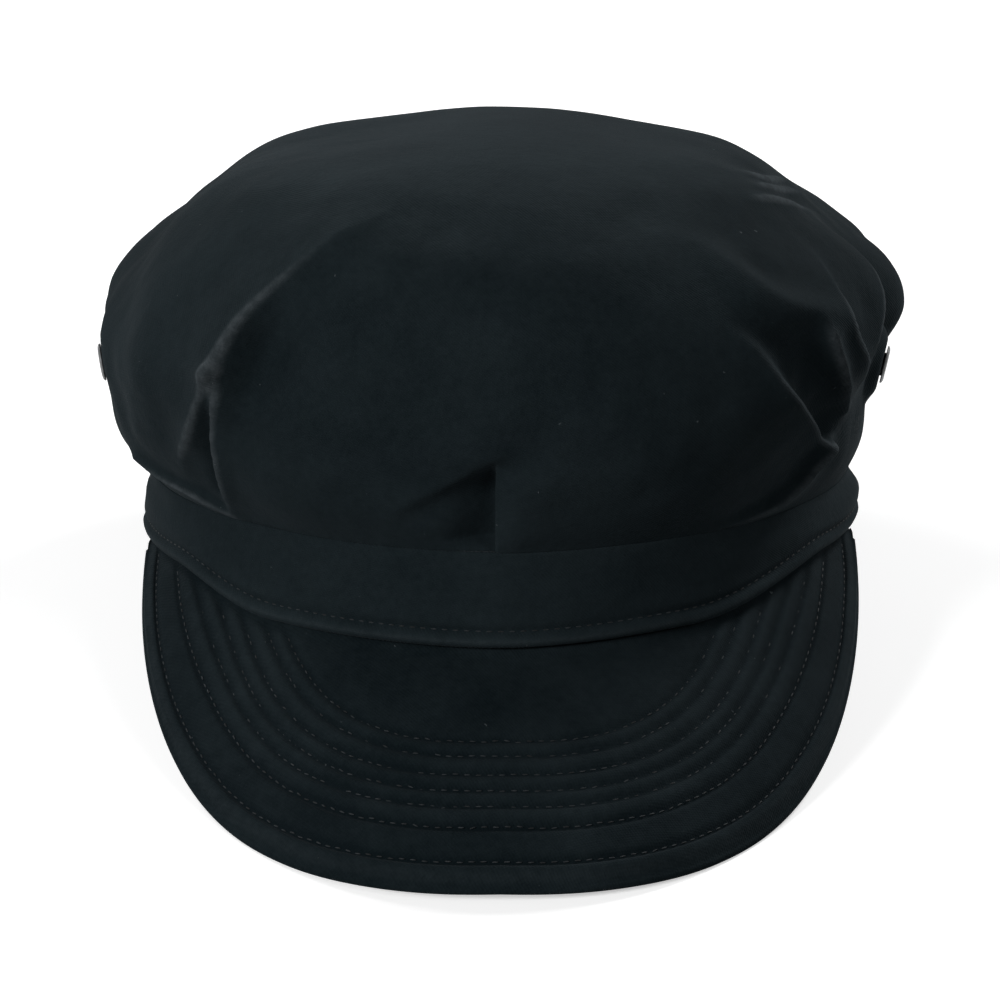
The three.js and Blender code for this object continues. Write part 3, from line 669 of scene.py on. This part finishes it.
def grid_sheet(columns, rows):
    """A bmesh grid, with each vertex's place across it from -1 to 1 and its row."""
    work = bmesh.new()
    bmesh.ops.create_grid(work, x_segments=columns, y_segments=rows, size=1.0)
    places = np.array([vertex.co[:] for vertex in work.verts])
    return work, places[:, 0], np.rint((places[:, 1] + 1.0) / 2.0 * rows).astype(int)


def copied(work, count):
    """A mesh of many copies of a bmesh's shape, and the shape's own vertices."""
    shape = np.array([vertex.co[:] for vertex in work.verts])
    pattern = bpy.data.meshes.new("pattern")
    work.to_mesh(pattern)
    for _ in range(count - 1):
        work.from_mesh(pattern)
    bpy.data.meshes.remove(pattern)
    return shape


def punch(work, centre, normal):
    """Opens a wall of cloth where an eyelet goes through it, and joins its two faces there."""
    centre = Vector(centre) * MM
    normal = Vector(normal)
    within = PUNCH["within"] * MM
    gone = []
    for face in work.faces:
        offset = face.calc_center_median() - centre
        if offset.length > within:
            continue
        depth = offset.dot(normal)
        radius = PUNCH["outer_face"] if depth > -CROWN_WALL * MM / 2 else PUNCH["inner_face"]
        if (offset - normal * depth).length < radius * MM:
            gone.append(face)
    bmesh.ops.delete(work, geom=gone, context="FACES")
    rims = [edge for edge in work.edges if edge.is_boundary and (edge.verts[0].co - centre).length < within]
    bmesh.ops.bridge_loops(work, edges=rims)


def new_piece(name, work, points, material, nodes=(), maps=(), values=(), caps=False, holes=()):
    """Makes a welded piece of a bmesh whose vertices are put at points, in millimetres.

    maps are its UV maps, in millimetres along the cloth, values its vertex values, and holes
    the seats that go through it."""
    mesh = bpy.data.meshes.new(name)
    work.to_mesh(mesh)
    mesh.vertices.foreach_set("co", (points * MM).ravel())
    corners = np.empty(len(mesh.loops), dtype=np.int32)
    mesh.loops.foreach_get("vertex_index", corners)
    for key, places in dict(maps).items():
        mesh.uv_layers.new(name=key).data.foreach_set("uv", (places * MM)[corners].ravel())
    for key, shares in dict(values).items():
        mesh.attributes.new(key, "FLOAT", "POINT").data.foreach_set("value", shares.astype(np.float32))
    work.clear()
    work.from_mesh(mesh)
    bmesh.ops.remove_doubles(work, verts=work.verts, dist=WELD)
    bmesh.ops.delete(work, geom=[edge for edge in work.edges if edge.is_wire], context="EDGES")
    for seat in holes:
        punch(work, *seat)
    if caps:
        rims = [edge for edge in work.edges if edge.is_boundary]
        made = bmesh.ops.holes_fill(work, edges=rims, sides=0)["faces"]
        bmesh.ops.triangulate(work, faces=made)
    bmesh.ops.recalc_face_normals(work, faces=work.faces)
    work.to_mesh(mesh)
    work.free()
    mesh.polygons.foreach_set("use_smooth", np.ones(len(mesh.polygons), dtype=bool))
    mesh.materials.append(material)
    piece = bpy.data.objects.new(name, mesh)
    bpy.context.scene.collection.objects.link(piece)
    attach(piece, "root")
    if nodes:
        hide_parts(*nodes)


def sew(name, places, material, slot, width, length):
    """One piece of many stitches, each a flattened bead of thread along its run.

    places are (point, run, outward) in millimetres, and the sizes are in metres."""
    work = bmesh.new()
    bmesh.ops.create_uvsphere(
        work, u_segments=STITCH_SHAPE["u_segments"], v_segments=STITCH_SHAPE["v_segments"], radius=1.0)
    shape = copied(work, len(places)) * (np.array((width, width * STITCH_SHAPE["height"], length)) / MM / 2)
    point, run, outward = (np.array(column) for column in zip(*places))
    run /= np.linalg.norm(run, axis=1)[:, None]
    across = np.cross(outward, run)
    across /= np.linalg.norm(across, axis=1)[:, None]
    outward = np.cross(run, across)
    points = (point[:, None, :] + shape[None, :, 0:1] * across[:, None, :]
              + shape[None, :, 1:2] * outward[:, None, :] + shape[None, :, 2:3] * run[:, None, :])
    new_piece(name, work, points.reshape(-1, 3), material)


def marks_along(line, pitch):
    """Points and runs every pitch along a line of points."""
    steps = np.concatenate(([0.0], np.cumsum(np.linalg.norm(np.diff(line, axis=0), axis=1))))
    marks = np.arange(pitch / 2, steps[-1] - pitch / 2, pitch)
    points, ahead = (
        np.stack([np.interp(place, steps, line[:, axis]) for axis in range(3)], axis=-1)
        for place in (marks, marks + pitch / 3))
    return points, ahead - points


# ---- Shader expressions

class Tint:
    """A shader socket that takes part in Python expressions."""

    def __init__(self, tree, socket):
        self.tree = tree
        self.socket = socket

    def node(self, kind, settings=None, inputs=None, output=0):
        """Any node of this tree: its settings first, then the values or links of its sockets."""
        made = self.tree.nodes.new(kind)
        for key, value in (settings or {}).items():
            setattr(made, key, value)
        for key, value in (inputs or {}).items():
            if isinstance(value, Tint):
                self.tree.links.new(value.socket, made.inputs[key])
            else:
                made.inputs[key].default_value = value
        return Tint(self.tree, made.outputs[output])

    def maths(self, operation, *values, clamp=False):
        settings = {"operation": operation, "use_clamp": clamp}
        return self.node("ShaderNodeMath", settings, dict(enumerate(values)))

    def __add__(self, other):
        return self.maths("ADD", self, other)

    __radd__ = __add__

    def __sub__(self, other):
        return self.maths("SUBTRACT", self, other)

    def __rsub__(self, other):
        return self.maths("SUBTRACT", other, self)

    def __mul__(self, other):
        return self.maths("MULTIPLY", self, other)

    __rmul__ = __mul__

    def clamped(self):
        return self.maths("ADD", self, 0.0, clamp=True)

    def between(self, low, high):
        """0 below low, 1 above high, and smooth between."""
        return self.node(
            "ShaderNodeMapRange", {"interpolation_type": "SMOOTHSTEP"},
            {"Value": self, "From Min": low, "From Max": high, "To Min": 0.0, "To Max": 1.0})

    def mixed(self, first, second):
        """From one colour to another by this value."""
        return self.node(
            "ShaderNodeMix", {"data_type": "RGBA"}, {0: self, 6: first, 7: second}, output=2)

    def scaled(self, factors):
        return self.node("ShaderNodeVectorMath", {"operation": "MULTIPLY"}, {0: self, 1: factors})

    def part(self, axis):
        return self.node("ShaderNodeSeparateXYZ", {}, {0: self}, output=axis)


def new_material(name):
    """A material with one Principled shader, and the wrapper that its nodes come from."""
    material = bpy.data.materials.new(name)
    material.use_nodes = True
    tree = material.node_tree
    tree.nodes.clear()
    shader = tree.nodes.new("ShaderNodeBsdfPrincipled")
    output = tree.nodes.new("ShaderNodeOutputMaterial")
    tree.links.new(shader.outputs[0], output.inputs[0])
    return material, shader, Tint(tree, None)


def feed(shader, maker, values):
    for key, value in values.items():
        if isinstance(value, Tint):
            maker.tree.links.new(value.socket, shader.inputs[key])
        else:
            shader.inputs[key].default_value = value


def noise(where, scale, detail=2.0, roughness=0.5, output=0):
    inputs = {"Vector": where, "Scale": scale, "Detail": detail, "Roughness": roughness}
    return where.node("ShaderNodeTexNoise", {}, inputs, output)


def bumped(height, strength, distance):
    return height.node("ShaderNodeBump", {}, {"Strength": strength, "Distance": distance, "Height": height})


def twill(where):
    """Diagonal wale and the finer yarns across it, on a map of the cloth in metres."""
    across = where.part(0)
    up = where.part(1)
    wale = where.maths("SINE", (across + up * TWILL["wale_slope"]) * (2 * math.pi / TWILL["pitch"]))
    yarns = 2 * math.pi / (TWILL["pitch"] * TWILL["yarn_share"])
    yarn = where.maths("SINE", (across * TWILL["yarn_slope"] - up) * yarns)
    return wale * TWILL["wale"] + yarn * (1.0 - TWILL["wale"])


def cloth_material(name, settings, maps, worn_and_painted_light, tone=0.42):
    """Brushed cotton twill: fine diagonal wale, uneven dye, lint and pills, dull fuzz, and the wear value's
    rubbed wear, painted highlights and painted shade.

    maps are the UV maps in metres that the weave follows, with the vertex value that mixes
    from the first to the second."""
    material, shader, maker = new_material(name)
    dark, light, pale, lint_colour = (
        (*colour, 1.0) for colour in (settings.dark, settings.light, settings.rubbed_and_highlit, settings.lint))
    coordinates = maker.node("ShaderNodeTexCoord", output=3)
    place = maker.node("ShaderNodeUVMap", {"uv_map": maps[0]})

    weave = twill(place)
    if len(maps) > 1:
        other = twill(maker.node("ShaderNodeUVMap", {"uv_map": maps[1]}))
        share = maker.node("ShaderNodeAttribute", {"attribute_name": maps[2]}, output=2)
        weave = weave * (1.0 - share) + other * share
    cloudy = noise(coordinates, scale=14.0, detail=5.0, roughness=0.62)
    blotch = noise(coordinates, scale=45.0, detail=4.0, roughness=0.6)
    mottle = noise(coordinates, scale=420.0, detail=3.0, roughness=0.7)
    fuzz = noise(coordinates, scale=1500.0, detail=2.0, roughness=0.8)
    strewn = coordinates.node(
        "ShaderNodeVectorMath", {"operation": "MULTIPLY_ADD"},
        {0: noise(coordinates, scale=900.0, output=1), 1: LINT["ragged"], 2: coordinates})
    specks = maker.node(
        "ShaderNodeTexVoronoi", {"feature": "F1"},
        {"Vector": strewn, "Scale": LINT["scale"], "Randomness": 1.0})
    chosen = noise(coordinates, scale=LINT["patches"], detail=1.0).between(*LINT["chosen"])
    lint = (1.0 - specks.between(*LINT["size"])) * chosen
    # The wear value: rubbed wear, painted highlights on crests and edges, and painted shade in valleys and
    # grooves.
    wear_and_painted_light = maker.node("ShaderNodeAttribute", {"attribute_name": "wear_and_painted_light"}, output=2)
    dye = (cloudy - 0.5) * SHADE["cloudy"] + (blotch - 0.5) * SHADE["blotch"]
    dye = dye + (mottle - 0.5) * SHADE["mottle"] + tone
    shade = dye + wear_and_painted_light * SHADE["wear_and_painted_light"] + weave * SHADE["weave"] + (fuzz - 0.5) * SHADE["fuzz"]
    colour = shade.clamped().mixed(dark, light)
    broken = mottle.between(*RUBBED_AND_HIGHLIT["broken"]) * RUBBED_AND_HIGHLIT["broken_share"]
    rubbed_and_highlit = wear_and_painted_light.between(*RUBBED_AND_HIGHLIT["worn_and_painted_light"]) * (1.0 - RUBBED_AND_HIGHLIT["broken_share"] + broken) * worn_and_painted_light
    colour = rubbed_and_highlit.clamped().mixed(colour, pale)
    colour = (lint * LINT["cover"]).clamped().mixed(colour, lint_colour)
    relief = weave * RELIEF["weave"] + mottle * RELIEF["mottle"] + fuzz * RELIEF["fuzz"]
    relief = relief + blotch * RELIEF["blotch"] + lint * RELIEF["lint"]
    feed(shader, maker, {
        "Base Color": colour,
        "Roughness": (0.9 + (mottle - 0.5) * 0.14).clamped(),
        "Specular IOR Level": 0.04,
        "Sheen Weight": 0.035,
        "Sheen Roughness": 0.5,
        "Sheen Tint": (0.62, 0.74, 0.82, 1.0),
        "Normal": bumped(relief, strength=1.0, distance=0.00032),
    })
    return material


def shaded(colour, shares):
    return (*(channel * share for channel, share in zip(colour, shares)), 1.0)


def thread_material(name, colour):
    material, shader, maker = new_material(name)
    coordinates = maker.node("ShaderNodeTexCoord", output=3)
    fibre = noise(coordinates, scale=2600.0, detail=2.0, roughness=0.7)
    uneven = noise(coordinates, scale=240.0)
    tone = uneven.between(0.35, 0.62)
    feed(shader, maker, {
        "Base Color": tone.mixed(shaded(colour, (0.35, 0.35, 0.35)), (*colour, 1.0)),
        "Roughness": (0.55 + fibre * 0.3).clamped(),
        "Specular IOR Level": 0.4,
        "Normal": bumped(fibre, strength=0.8, distance=0.0002),
    })
    return material


def metal_material(name, colour):
    material, shader, maker = new_material(name)
    coordinates = maker.node("ShaderNodeTexCoord", output=3)
    scratch = noise(coordinates.scaled((1.0, 6.0, 1.0)), scale=900.0, detail=3.0)
    stain = noise(coordinates, scale=260.0, detail=3.0)
    dull = shaded(colour, (0.55, 0.54, 0.52))
    feed(shader, maker, {
        "Base Color": stain.between(0.35, 0.6).mixed(dull, (*colour, 1.0)),
        "Metallic": 0.5,
        "Roughness": (0.34 + scratch * 0.25).clamped(),
        "Normal": bumped(scratch, strength=0.25, distance=0.0001),
    })
    return material


def floor_material(name, colour):
    material, shader, maker = new_material(name)
    coordinates = maker.node("ShaderNodeTexCoord", output=3)
    grain = noise(coordinates, scale=60.0)
    feed(shader, maker, {
        "Base Color": grain.mixed(shaded(colour, (0.99, 0.99, 0.99)), (*colour, 1.0)),
        "Roughness": 0.8,
        "Specular IOR Level": 0.1,
        "Emission Color": (1.0, 1.0, 1.0, 1.0),
        "Emission Strength": 0.5,
    })
    return material


# ---- Settings

def colour_of(name, description, default):
    return FloatVectorProperty(
        name=name, description=description, subtype="COLOR", default=default, min=0.0, max=1.0)


def length_of(name, description, default, low, high):
    return FloatProperty(
        name=name, description=description, subtype="DISTANCE", unit="LENGTH", default=default,
        min=low, max=high)


def count_of(name, description, default, low, high):
    return IntProperty(name=name, description=description, default=default, min=low, max=high)


class CapClothSettings(PropertyGroup):
    """The cap's cloth and how finely it is modelled."""

    dark: colour_of("Dark dye", "The cloth's colour in its darker patches", (0.0044, 0.0082, 0.0102))
    light: colour_of(
        "Light dye", "The cloth's colour in its paler, brushed patches", (0.022, 0.0315, 0.0358))
    # The rubbed colour is also the colour of the painted highlights on creases and edges.
    rubbed_and_highlit: colour_of(
        "Rubbed", "The cloth's colour where creases and edges are rubbed", (0.062, 0.073, 0.08))
    lint: colour_of("Lint", "The colour of the lint and pills on the cloth", (0.12, 0.14, 0.15))
    wall: length_of("Crown wall", "Thickness of the crown's cloth", CROWN_WALL * MM, 0.0005, 0.004)
    columns: count_of("Columns", "How many columns of faces go round the crown", 520, 60, 560)
    rows: count_of("Rows", "How many rows of faces go up the crown's outer face", 148, 24, 160)
    inner_rows: count_of("Inner rows", "How many rows of faces go up the crown's inner face", 37, 8, 40)


class CapTrimSettings(PropertyGroup):
    """Stitching and vents."""

    thread: colour_of("Thread", "Colour of the visor's sewing thread", (0.024, 0.03, 0.034))
    dyed_thread: colour_of("Dyed thread", "Colour of the headband's sewing thread", (0.014, 0.019, 0.022))
    stitch: length_of("Stitch length", "Length of one stitch with its gap", 0.0026, 0.001, 0.01)
    thread_width: length_of("Thread width", "Diameter of the sewing thread", 0.00036, 0.0001, 0.002)
    metal: colour_of("Vent metal", "Colour of the vents' plating", (0.2, 0.205, 0.21))


class CapStageSettings(PropertyGroup):
    """Floor, lights and camera."""

    floor: colour_of("Floor", "Colour of the floor", (0.93, 0.93, 0.93))
    camera_height: FloatProperty(
        name="Camera elevation", description="Angle of the camera above the floor", subtype="ANGLE",
        default=math.radians(25.0), min=0.0, max=math.radians(85.0))
    camera_distance: length_of("Camera distance", "From the camera to the middle of the cap", 0.9, 0.3, 5.0)
    lens: FloatProperty(
        name="Lens", description="Focal length of the camera", subtype="DISTANCE_CAMERA",
        default=127.7, min=20, max=400)


# ---- Operators

class CAP_OT_crown(Operator):
    """Makes the soft crown with its folds and tucks"""

    bl_idname = "cap.crown"
    bl_label = "Crown"

    def execute(self, context):
        settings = context.scene.cap_cloth
        columns, rows, inner_rows = settings.columns, settings.rows, settings.inner_rows
        across = np.linspace(-1.0, 1.0, columns + 1)
        levels = (np.arange(rows + 1) / rows) ** ROW_SPREAD
        up, angle = np.meshgrid(levels, round_cap(across), indexing="ij")
        rise, slide, worn_and_painted_light = crown_rise(angle, up)
        rise += crown_slack(angle, up)
        outside = crown_points(angle, up, rise, slide)
        wall = settings.wall / MM
        step = rows // inner_rows
        inner = slice(rows, None, -step)
        inside = crown_points(angle, up, lowest_around(rise, step, INNER_REACH) - wall, slide)[inner]
        inside[0] = outside[-1] - (0.0, 0.0, wall)
        inside[-1] = outside[0] + from_pole(angle[0], np.full(columns + 1, -wall), np.zeros(columns + 1))

        def whole(outer):
            return np.concatenate((outer, outer[inner], outer[:1]))

        work, place, row = grid_sheet(columns, rows + inner_rows + 2)
        column = np.rint((place + 1.0) / 2.0 * columns).astype(int)
        seats = [eyelet_seat(*seat) for seat in EYELETS.values()]
        outside = press_flat(seamed(stand(outside)), seats, 0.0)
        inside = press_flat(seamed(stand(inside)), seats, wall)
        points = np.concatenate((outside, inside, outside[:1]))[row, column]
        sides = np.stack((angle * SIDE_GIRTH, up * CROWN_RISE_LENGTH), axis=-1)
        on_top = smoothstep(up, TOP_PATTERN["from"], TOP_PATTERN["full"])
        twill_maps = ("sides", "top", "on_top")
        new_piece(
            "crown_cloth", work, points,
            cloth_material("crown_twill", settings, twill_maps, worn_and_painted_light=0.95), ["crown"],
            maps={"sides": whole(sides)[row, column], "top": points[:, :2]},
            values={"on_top": whole(on_top)[row, column], "wear_and_painted_light": whole(worn_and_painted_light)[row, column]},
            holes=seats)
        return {"FINISHED"}


class CAP_OT_band(Operator):
    """Makes the headband with its rolled foot"""

    bl_idname = "cap.band"
    bl_label = "Headband"

    def execute(self, context):
        settings = context.scene.cap_cloth
        work, across, row = grid_sheet(BAND_COLUMNS, len(BAND_SECTION))
        angle = round_cap(across)
        outward, level = np.array(BAND_SECTION + BAND_SECTION[:1])[row].T
        slack = sum(
            wave["height"] * np.sin(wave["turns"] * angle + wave["drift"] * level + wave["start"])
            for wave in BAND_WAVES)
        wavy = (outward > BAND_WAVY["outside_of"]) & (level > BAND_WAVY["above"])
        outward = outward + np.where(wavy, slack, 0.0)
        points = stand(band_points(angle, outward, level))
        # Paler on the rolled foot, as rubbed wear and a painted highlight, and darker in the stitched groove,
        # as painted shade.
        foot, sewn = (
            mark["amount"] * np.exp(-(((level - mark["height"]) / mark["width"]) ** 2))
            for mark in (BAND_WEAR_AND_PAINTED_LIGHT["foot"], BAND_WEAR_AND_PAINTED_LIGHT["sewn"]))
        new_piece(
            "band_cloth", work, points, cloth_material("band_twill", settings, ("sides",), worn_and_painted_light=0.6),
            ["band"], maps={"sides": np.stack((angle * BAND_GIRTH, level), axis=-1)},
            values={"wear_and_painted_light": np.clip(foot * (outward > 0) + sewn, -1.0, 1.0)})
        return {"FINISHED"}


class CAP_OT_visor(Operator):
    """Makes the stiff visor with its sewn rows and turned edge"""

    bl_idname = "cap.visor"
    bl_label = "Visor"

    def execute(self, context):
        settings = context.scene.cap_cloth
        outs = np.sin(np.linspace(0.0, math.pi / 2, VISOR_MESH["top_rows"])) ** VISOR_MESH["top_spread"]
        loop = [(out, 1.0) for out in outs[:-1]]
        loop += [(1.0, level) for level in VISOR_MESH["edge"]]
        under = np.linspace(VISOR_MESH["under_from"], 0.0, VISOR_MESH["under_rows"])
        loop += [(out, 0.0) for out in under]
        work, share, row = grid_sheet(VISOR_MESH["columns"], len(loop))
        out, level = np.array(loop + loop[:1])[row].T
        points = visor_underside(share, out)
        rounded = smoothstep(out, VISOR_ROUNDED["from"], 1.0)
        thickness = VISOR["thickness"] + (VISOR["edge"] - VISOR["thickness"]) * rounded
        distance = edge_distance(points, share)
        from_root = np.linalg.norm(points - visor_underside(share, np.zeros_like(out)), axis=-1)
        sewn_in = 1.0 - smoothstep(from_root, *VISOR_SEWN_IN)
        on_top = level >= VISOR_MESH["edge"][0]
        relief = np.where(on_top, visor_relief(distance), 0.0)
        relief *= smoothstep(distance, *VISOR_RELIEF["off_edge"])
        relief *= smoothstep(from_root, *VISOR_RELIEF["off_root"])
        raised = VISOR_TIP["raised"] * (1.0 - smoothstep(1.0 - np.abs(share), 0.0, VISOR_TIP["over"]))
        points[:, 2] += (level + (1.0 - level) * raised) * thickness
        points[:, 2] += level * VISOR_ROOT["pressed_in"] * sewn_in + relief
        bulge = VISOR_ROUNDED["edge_bulge"] * np.sin(math.pi * level) * (out > VISOR_ROUNDED["beyond"])
        outward = points[:, :2] - np.array((0.0, CENTRE_SHIFT))
        outward /= np.maximum(np.linalg.norm(outward, axis=1), 1e-6)[:, None]
        points[:, :2] += outward * bulge[:, None]
        # Paler at the edge, as rubbed wear and a painted highlight. The relief is added too, so the padded
        # rows are painted lighter and the grooves darker, as painted highlight and shade.
        off_edge = smoothstep(distance, VISOR_EDGE_WEAR_AND_HIGHLIGHT["edge_from"], VISOR_EDGE_WEAR_AND_HIGHLIGHT["edge_to"])
        wear_and_painted_light = VISOR_EDGE_WEAR_AND_HIGHLIGHT["edge"] * (1.0 - off_edge)
        # The visor's cloth takes a lower tone than the crown's: painted shade, standing for the crown's
        # shadow on it.
        new_piece(
            "visor_cloth", work, points,
            cloth_material("visor_twill", settings, ("sides",), worn_and_painted_light=0.5, tone=0.2), ["visor"],
            maps={"sides": points[:, :2]},
            values={"wear_and_painted_light": np.clip(wear_and_painted_light + relief, -1.0, 1.0)}, caps=True)
        return {"FINISHED"}


class CAP_OT_stitches(Operator):
    """Sews the rows of stitching on the visor and round the headband"""

    bl_idname = "cap.stitches"
    bl_label = "Stitching"

    def execute(self, context):
        trim = context.scene.cap_trim
        thread = thread_material("cotton_thread", trim.thread)
        dyed_thread = thread_material("dyed_thread", trim.dyed_thread)
        rng = np.random.default_rng(STITCH_SINK["seed"])
        shares = np.linspace(-STITCH_SEARCH["reach"], STITCH_SEARCH["reach"], STITCH_SEARCH["across"])
        outs = np.linspace(0.0, 1.0, STITCH_SEARCH["out"])
        grid_share, grid_out = np.meshgrid(shares, outs, indexing="ij")
        flat = visor_underside(grid_share.ravel(), grid_out.ravel())
        distance = edge_distance(flat, grid_share.ravel()).reshape(grid_share.shape)
        surface = flat.reshape(*grid_share.shape, 3)
        pitch = trim.stitch / MM
        sizes = (trim.thread_width, trim.stitch * STITCH_SHAPE["length"])
        places = []
        for sewn in STITCH_ROWS:
            deep = distance > sewn
            reaching = deep[:, 0]
            last = np.argmin(deep, axis=1) - 1
            line = surface[np.arange(len(shares)), last][reaching]
            for point, run in zip(*marks_along(line, pitch)):
                sunk = STITCH_SINK["middle"] + STITCH_SINK["sides"] * abs(point[0]) / VISOR["left"]
                uneven = rng.uniform(STITCH_SINK["lowest"], STITCH_SINK["highest"])
                point[2] += VISOR["thickness"] - sunk + uneven
                run[2] += rng.uniform(-STITCH_SINK["tilt"], STITCH_SINK["tilt"])
                places.append((point, run, STITCH_FACING))
        sew("visor_stitches", places, thread, "visor_cloth", *sizes)

        turn = np.linspace(-math.pi, math.pi, BAND_STITCHES["steps"])
        outward = np.full_like(turn, BAND_STITCHES["outward"])
        ring = stand(band_points(turn, outward, np.full_like(turn, BAND_STITCHES["height"])))
        places = [
            (point, run, (point - (0.0, CENTRE_SHIFT, point[2])))
            for point, run in zip(*marks_along(ring, pitch))]
        sew("band_stitches", places, dyed_thread, "band_cloth", *sizes)
        return {"FINISHED"}


class CAP_OT_vents(Operator):
    """Makes the two metal vent eyelets"""

    bl_idname = "cap.vents"
    bl_label = "Vents"

    def execute(self, context):
        metal = metal_material("vent_plating", context.scene.cap_trim.metal)
        bore, barrel, flange, rim = (EYELET[key] for key in ("bore", "barrel", "flange", "rim"))
        front = EYELET["clearance"]
        back = -CROWN_WALL - EYELET["clearance"]
        section = [
            *((bore + out, back + rim * high) for out, high in EYELET_MOUTHS["back"]),
            *((flange * share, back + rim * high) for share, high in EYELET_BACK),
            (barrel, back), (barrel, front),
            *((flange * share, front + rim * high) for share, high in EYELET_FACE),
            *((bore + out, front + rim * high) for out, high in EYELET_MOUTHS["face"]),
        ]
        for name, seat in EYELETS.items():
            centre, normal = eyelet_seat(*seat)
            work, across, row = grid_sheet(EYELET_COLUMNS, len(section))
            radius, level = np.array(section + section[:1])[row].T
            turn = np.array(Vector((0, 0, 1)).rotation_difference(Vector(normal)).to_matrix())
            points = from_pole(across * math.pi, radius, level) @ turn.T + centre
            new_piece(name.replace("eyelet", "vent"), work, points, metal, [name])
        return {"FINISHED"}


class CAP_OT_stage(Operator):
    """Lays the floor and sets the lights and the camera"""

    bl_idname = "cap.stage"
    bl_label = "Stage"

    def execute(self, context):
        settings = context.scene.cap_stage
        work = bmesh.new()
        bmesh.ops.create_grid(work, x_segments=2, y_segments=2, size=FLOOR_REACH)
        mesh = bpy.data.meshes.new("floor")
        work.to_mesh(mesh)
        work.free()
        floor = bpy.data.objects.new("floor", mesh)
        context.scene.collection.objects.link(floor)
        mesh.materials.append(floor_material("floor_paper", settings.floor))
        floor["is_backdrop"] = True
        floor.visible_diffuse = False

        low, high = (Vector(corner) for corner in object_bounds())
        middle = (low + high) / 2
        aim = Vector((0.0, CENTRE_SHIFT * MM, AIM_HEIGHT))
        elevation = settings.camera_height
        away = Vector((0.0, -math.cos(elevation), math.sin(elevation)))
        camera_data = bpy.data.cameras.new("camera")
        camera_data.lens = settings.lens
        camera_data.sensor_width = SENSOR_WIDTH
        camera = bpy.data.objects.new("camera", camera_data)
        context.scene.collection.objects.link(camera)
        camera.location = aim + away * settings.camera_distance
        camera.rotation_euler = (-away).to_track_quat("-Z", "Y").to_euler()
        context.scene.camera = camera

        for name, lamp in LAMPS.items():
            light = bpy.data.lights.new(name, "AREA")
            light.shape = "DISK"
            light.size = LAMP_SIZE
            light.energy = lamp["watts"]
            holder = bpy.data.objects.new(name, light)
            context.scene.collection.objects.link(holder)
            holder.location = Vector(lamp["place"])
            holder.rotation_euler = (middle - holder.location).to_track_quat("-Z", "Y").to_euler()

        world = bpy.data.worlds.new("room")
        world.use_nodes = True
        background = world.node_tree.nodes["Background"]
        background.inputs["Color"].default_value = ROOM["colour"]
        background.inputs["Strength"].default_value = ROOM["strength"]
        context.scene.world = world
        context.scene.view_settings.view_transform = "Standard"
        context.scene.view_settings.look = "None"
        return {"FINISHED"}


class CAP_PT_sidebar(Panel):
    """Lists the cap's pieces and sizes"""

    bl_idname = "CAP_PT_sidebar"
    bl_label = "Utility Cap"
    bl_space_type = "VIEW_3D"
    bl_region_type = "UI"
    bl_category = "Cap"

    def draw(self, context):
        for group in ("cap_cloth", "cap_trim", "cap_stage"):
            settings = getattr(context.scene, group)
            box = self.layout.box()
            for key in settings.bl_rna.properties.keys():
                if key not in ("rna_type", "name"):
                    box.prop(settings, key)
        for operator in OPERATORS:
            self.layout.operator(operator.bl_idname)


SETTINGS = {"cap_cloth": CapClothSettings, "cap_trim": CapTrimSettings, "cap_stage": CapStageSettings}
OPERATORS = (CAP_OT_crown, CAP_OT_band, CAP_OT_visor, CAP_OT_stitches, CAP_OT_vents, CAP_OT_stage)
CLASSES = (*SETTINGS.values(), *OPERATORS, CAP_PT_sidebar)


def register():
    for made in CLASSES:
        bpy.utils.register_class(made)
    for name, made in SETTINGS.items():
        setattr(bpy.types.Scene, name, PointerProperty(type=made))


def unregister():
    for name in SETTINGS:
        delattr(bpy.types.Scene, name)
    for made in reversed(CLASSES):
        bpy.utils.unregister_class(made)


def main():
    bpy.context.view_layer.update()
    register()
    bpy.ops.cap.crown()
    bpy.ops.cap.band()
    bpy.ops.cap.visor()
    bpy.ops.cap.stitches()
    bpy.ops.cap.vents()
    bpy.ops.cap.stage()


if __name__ == "__main__":
    main()
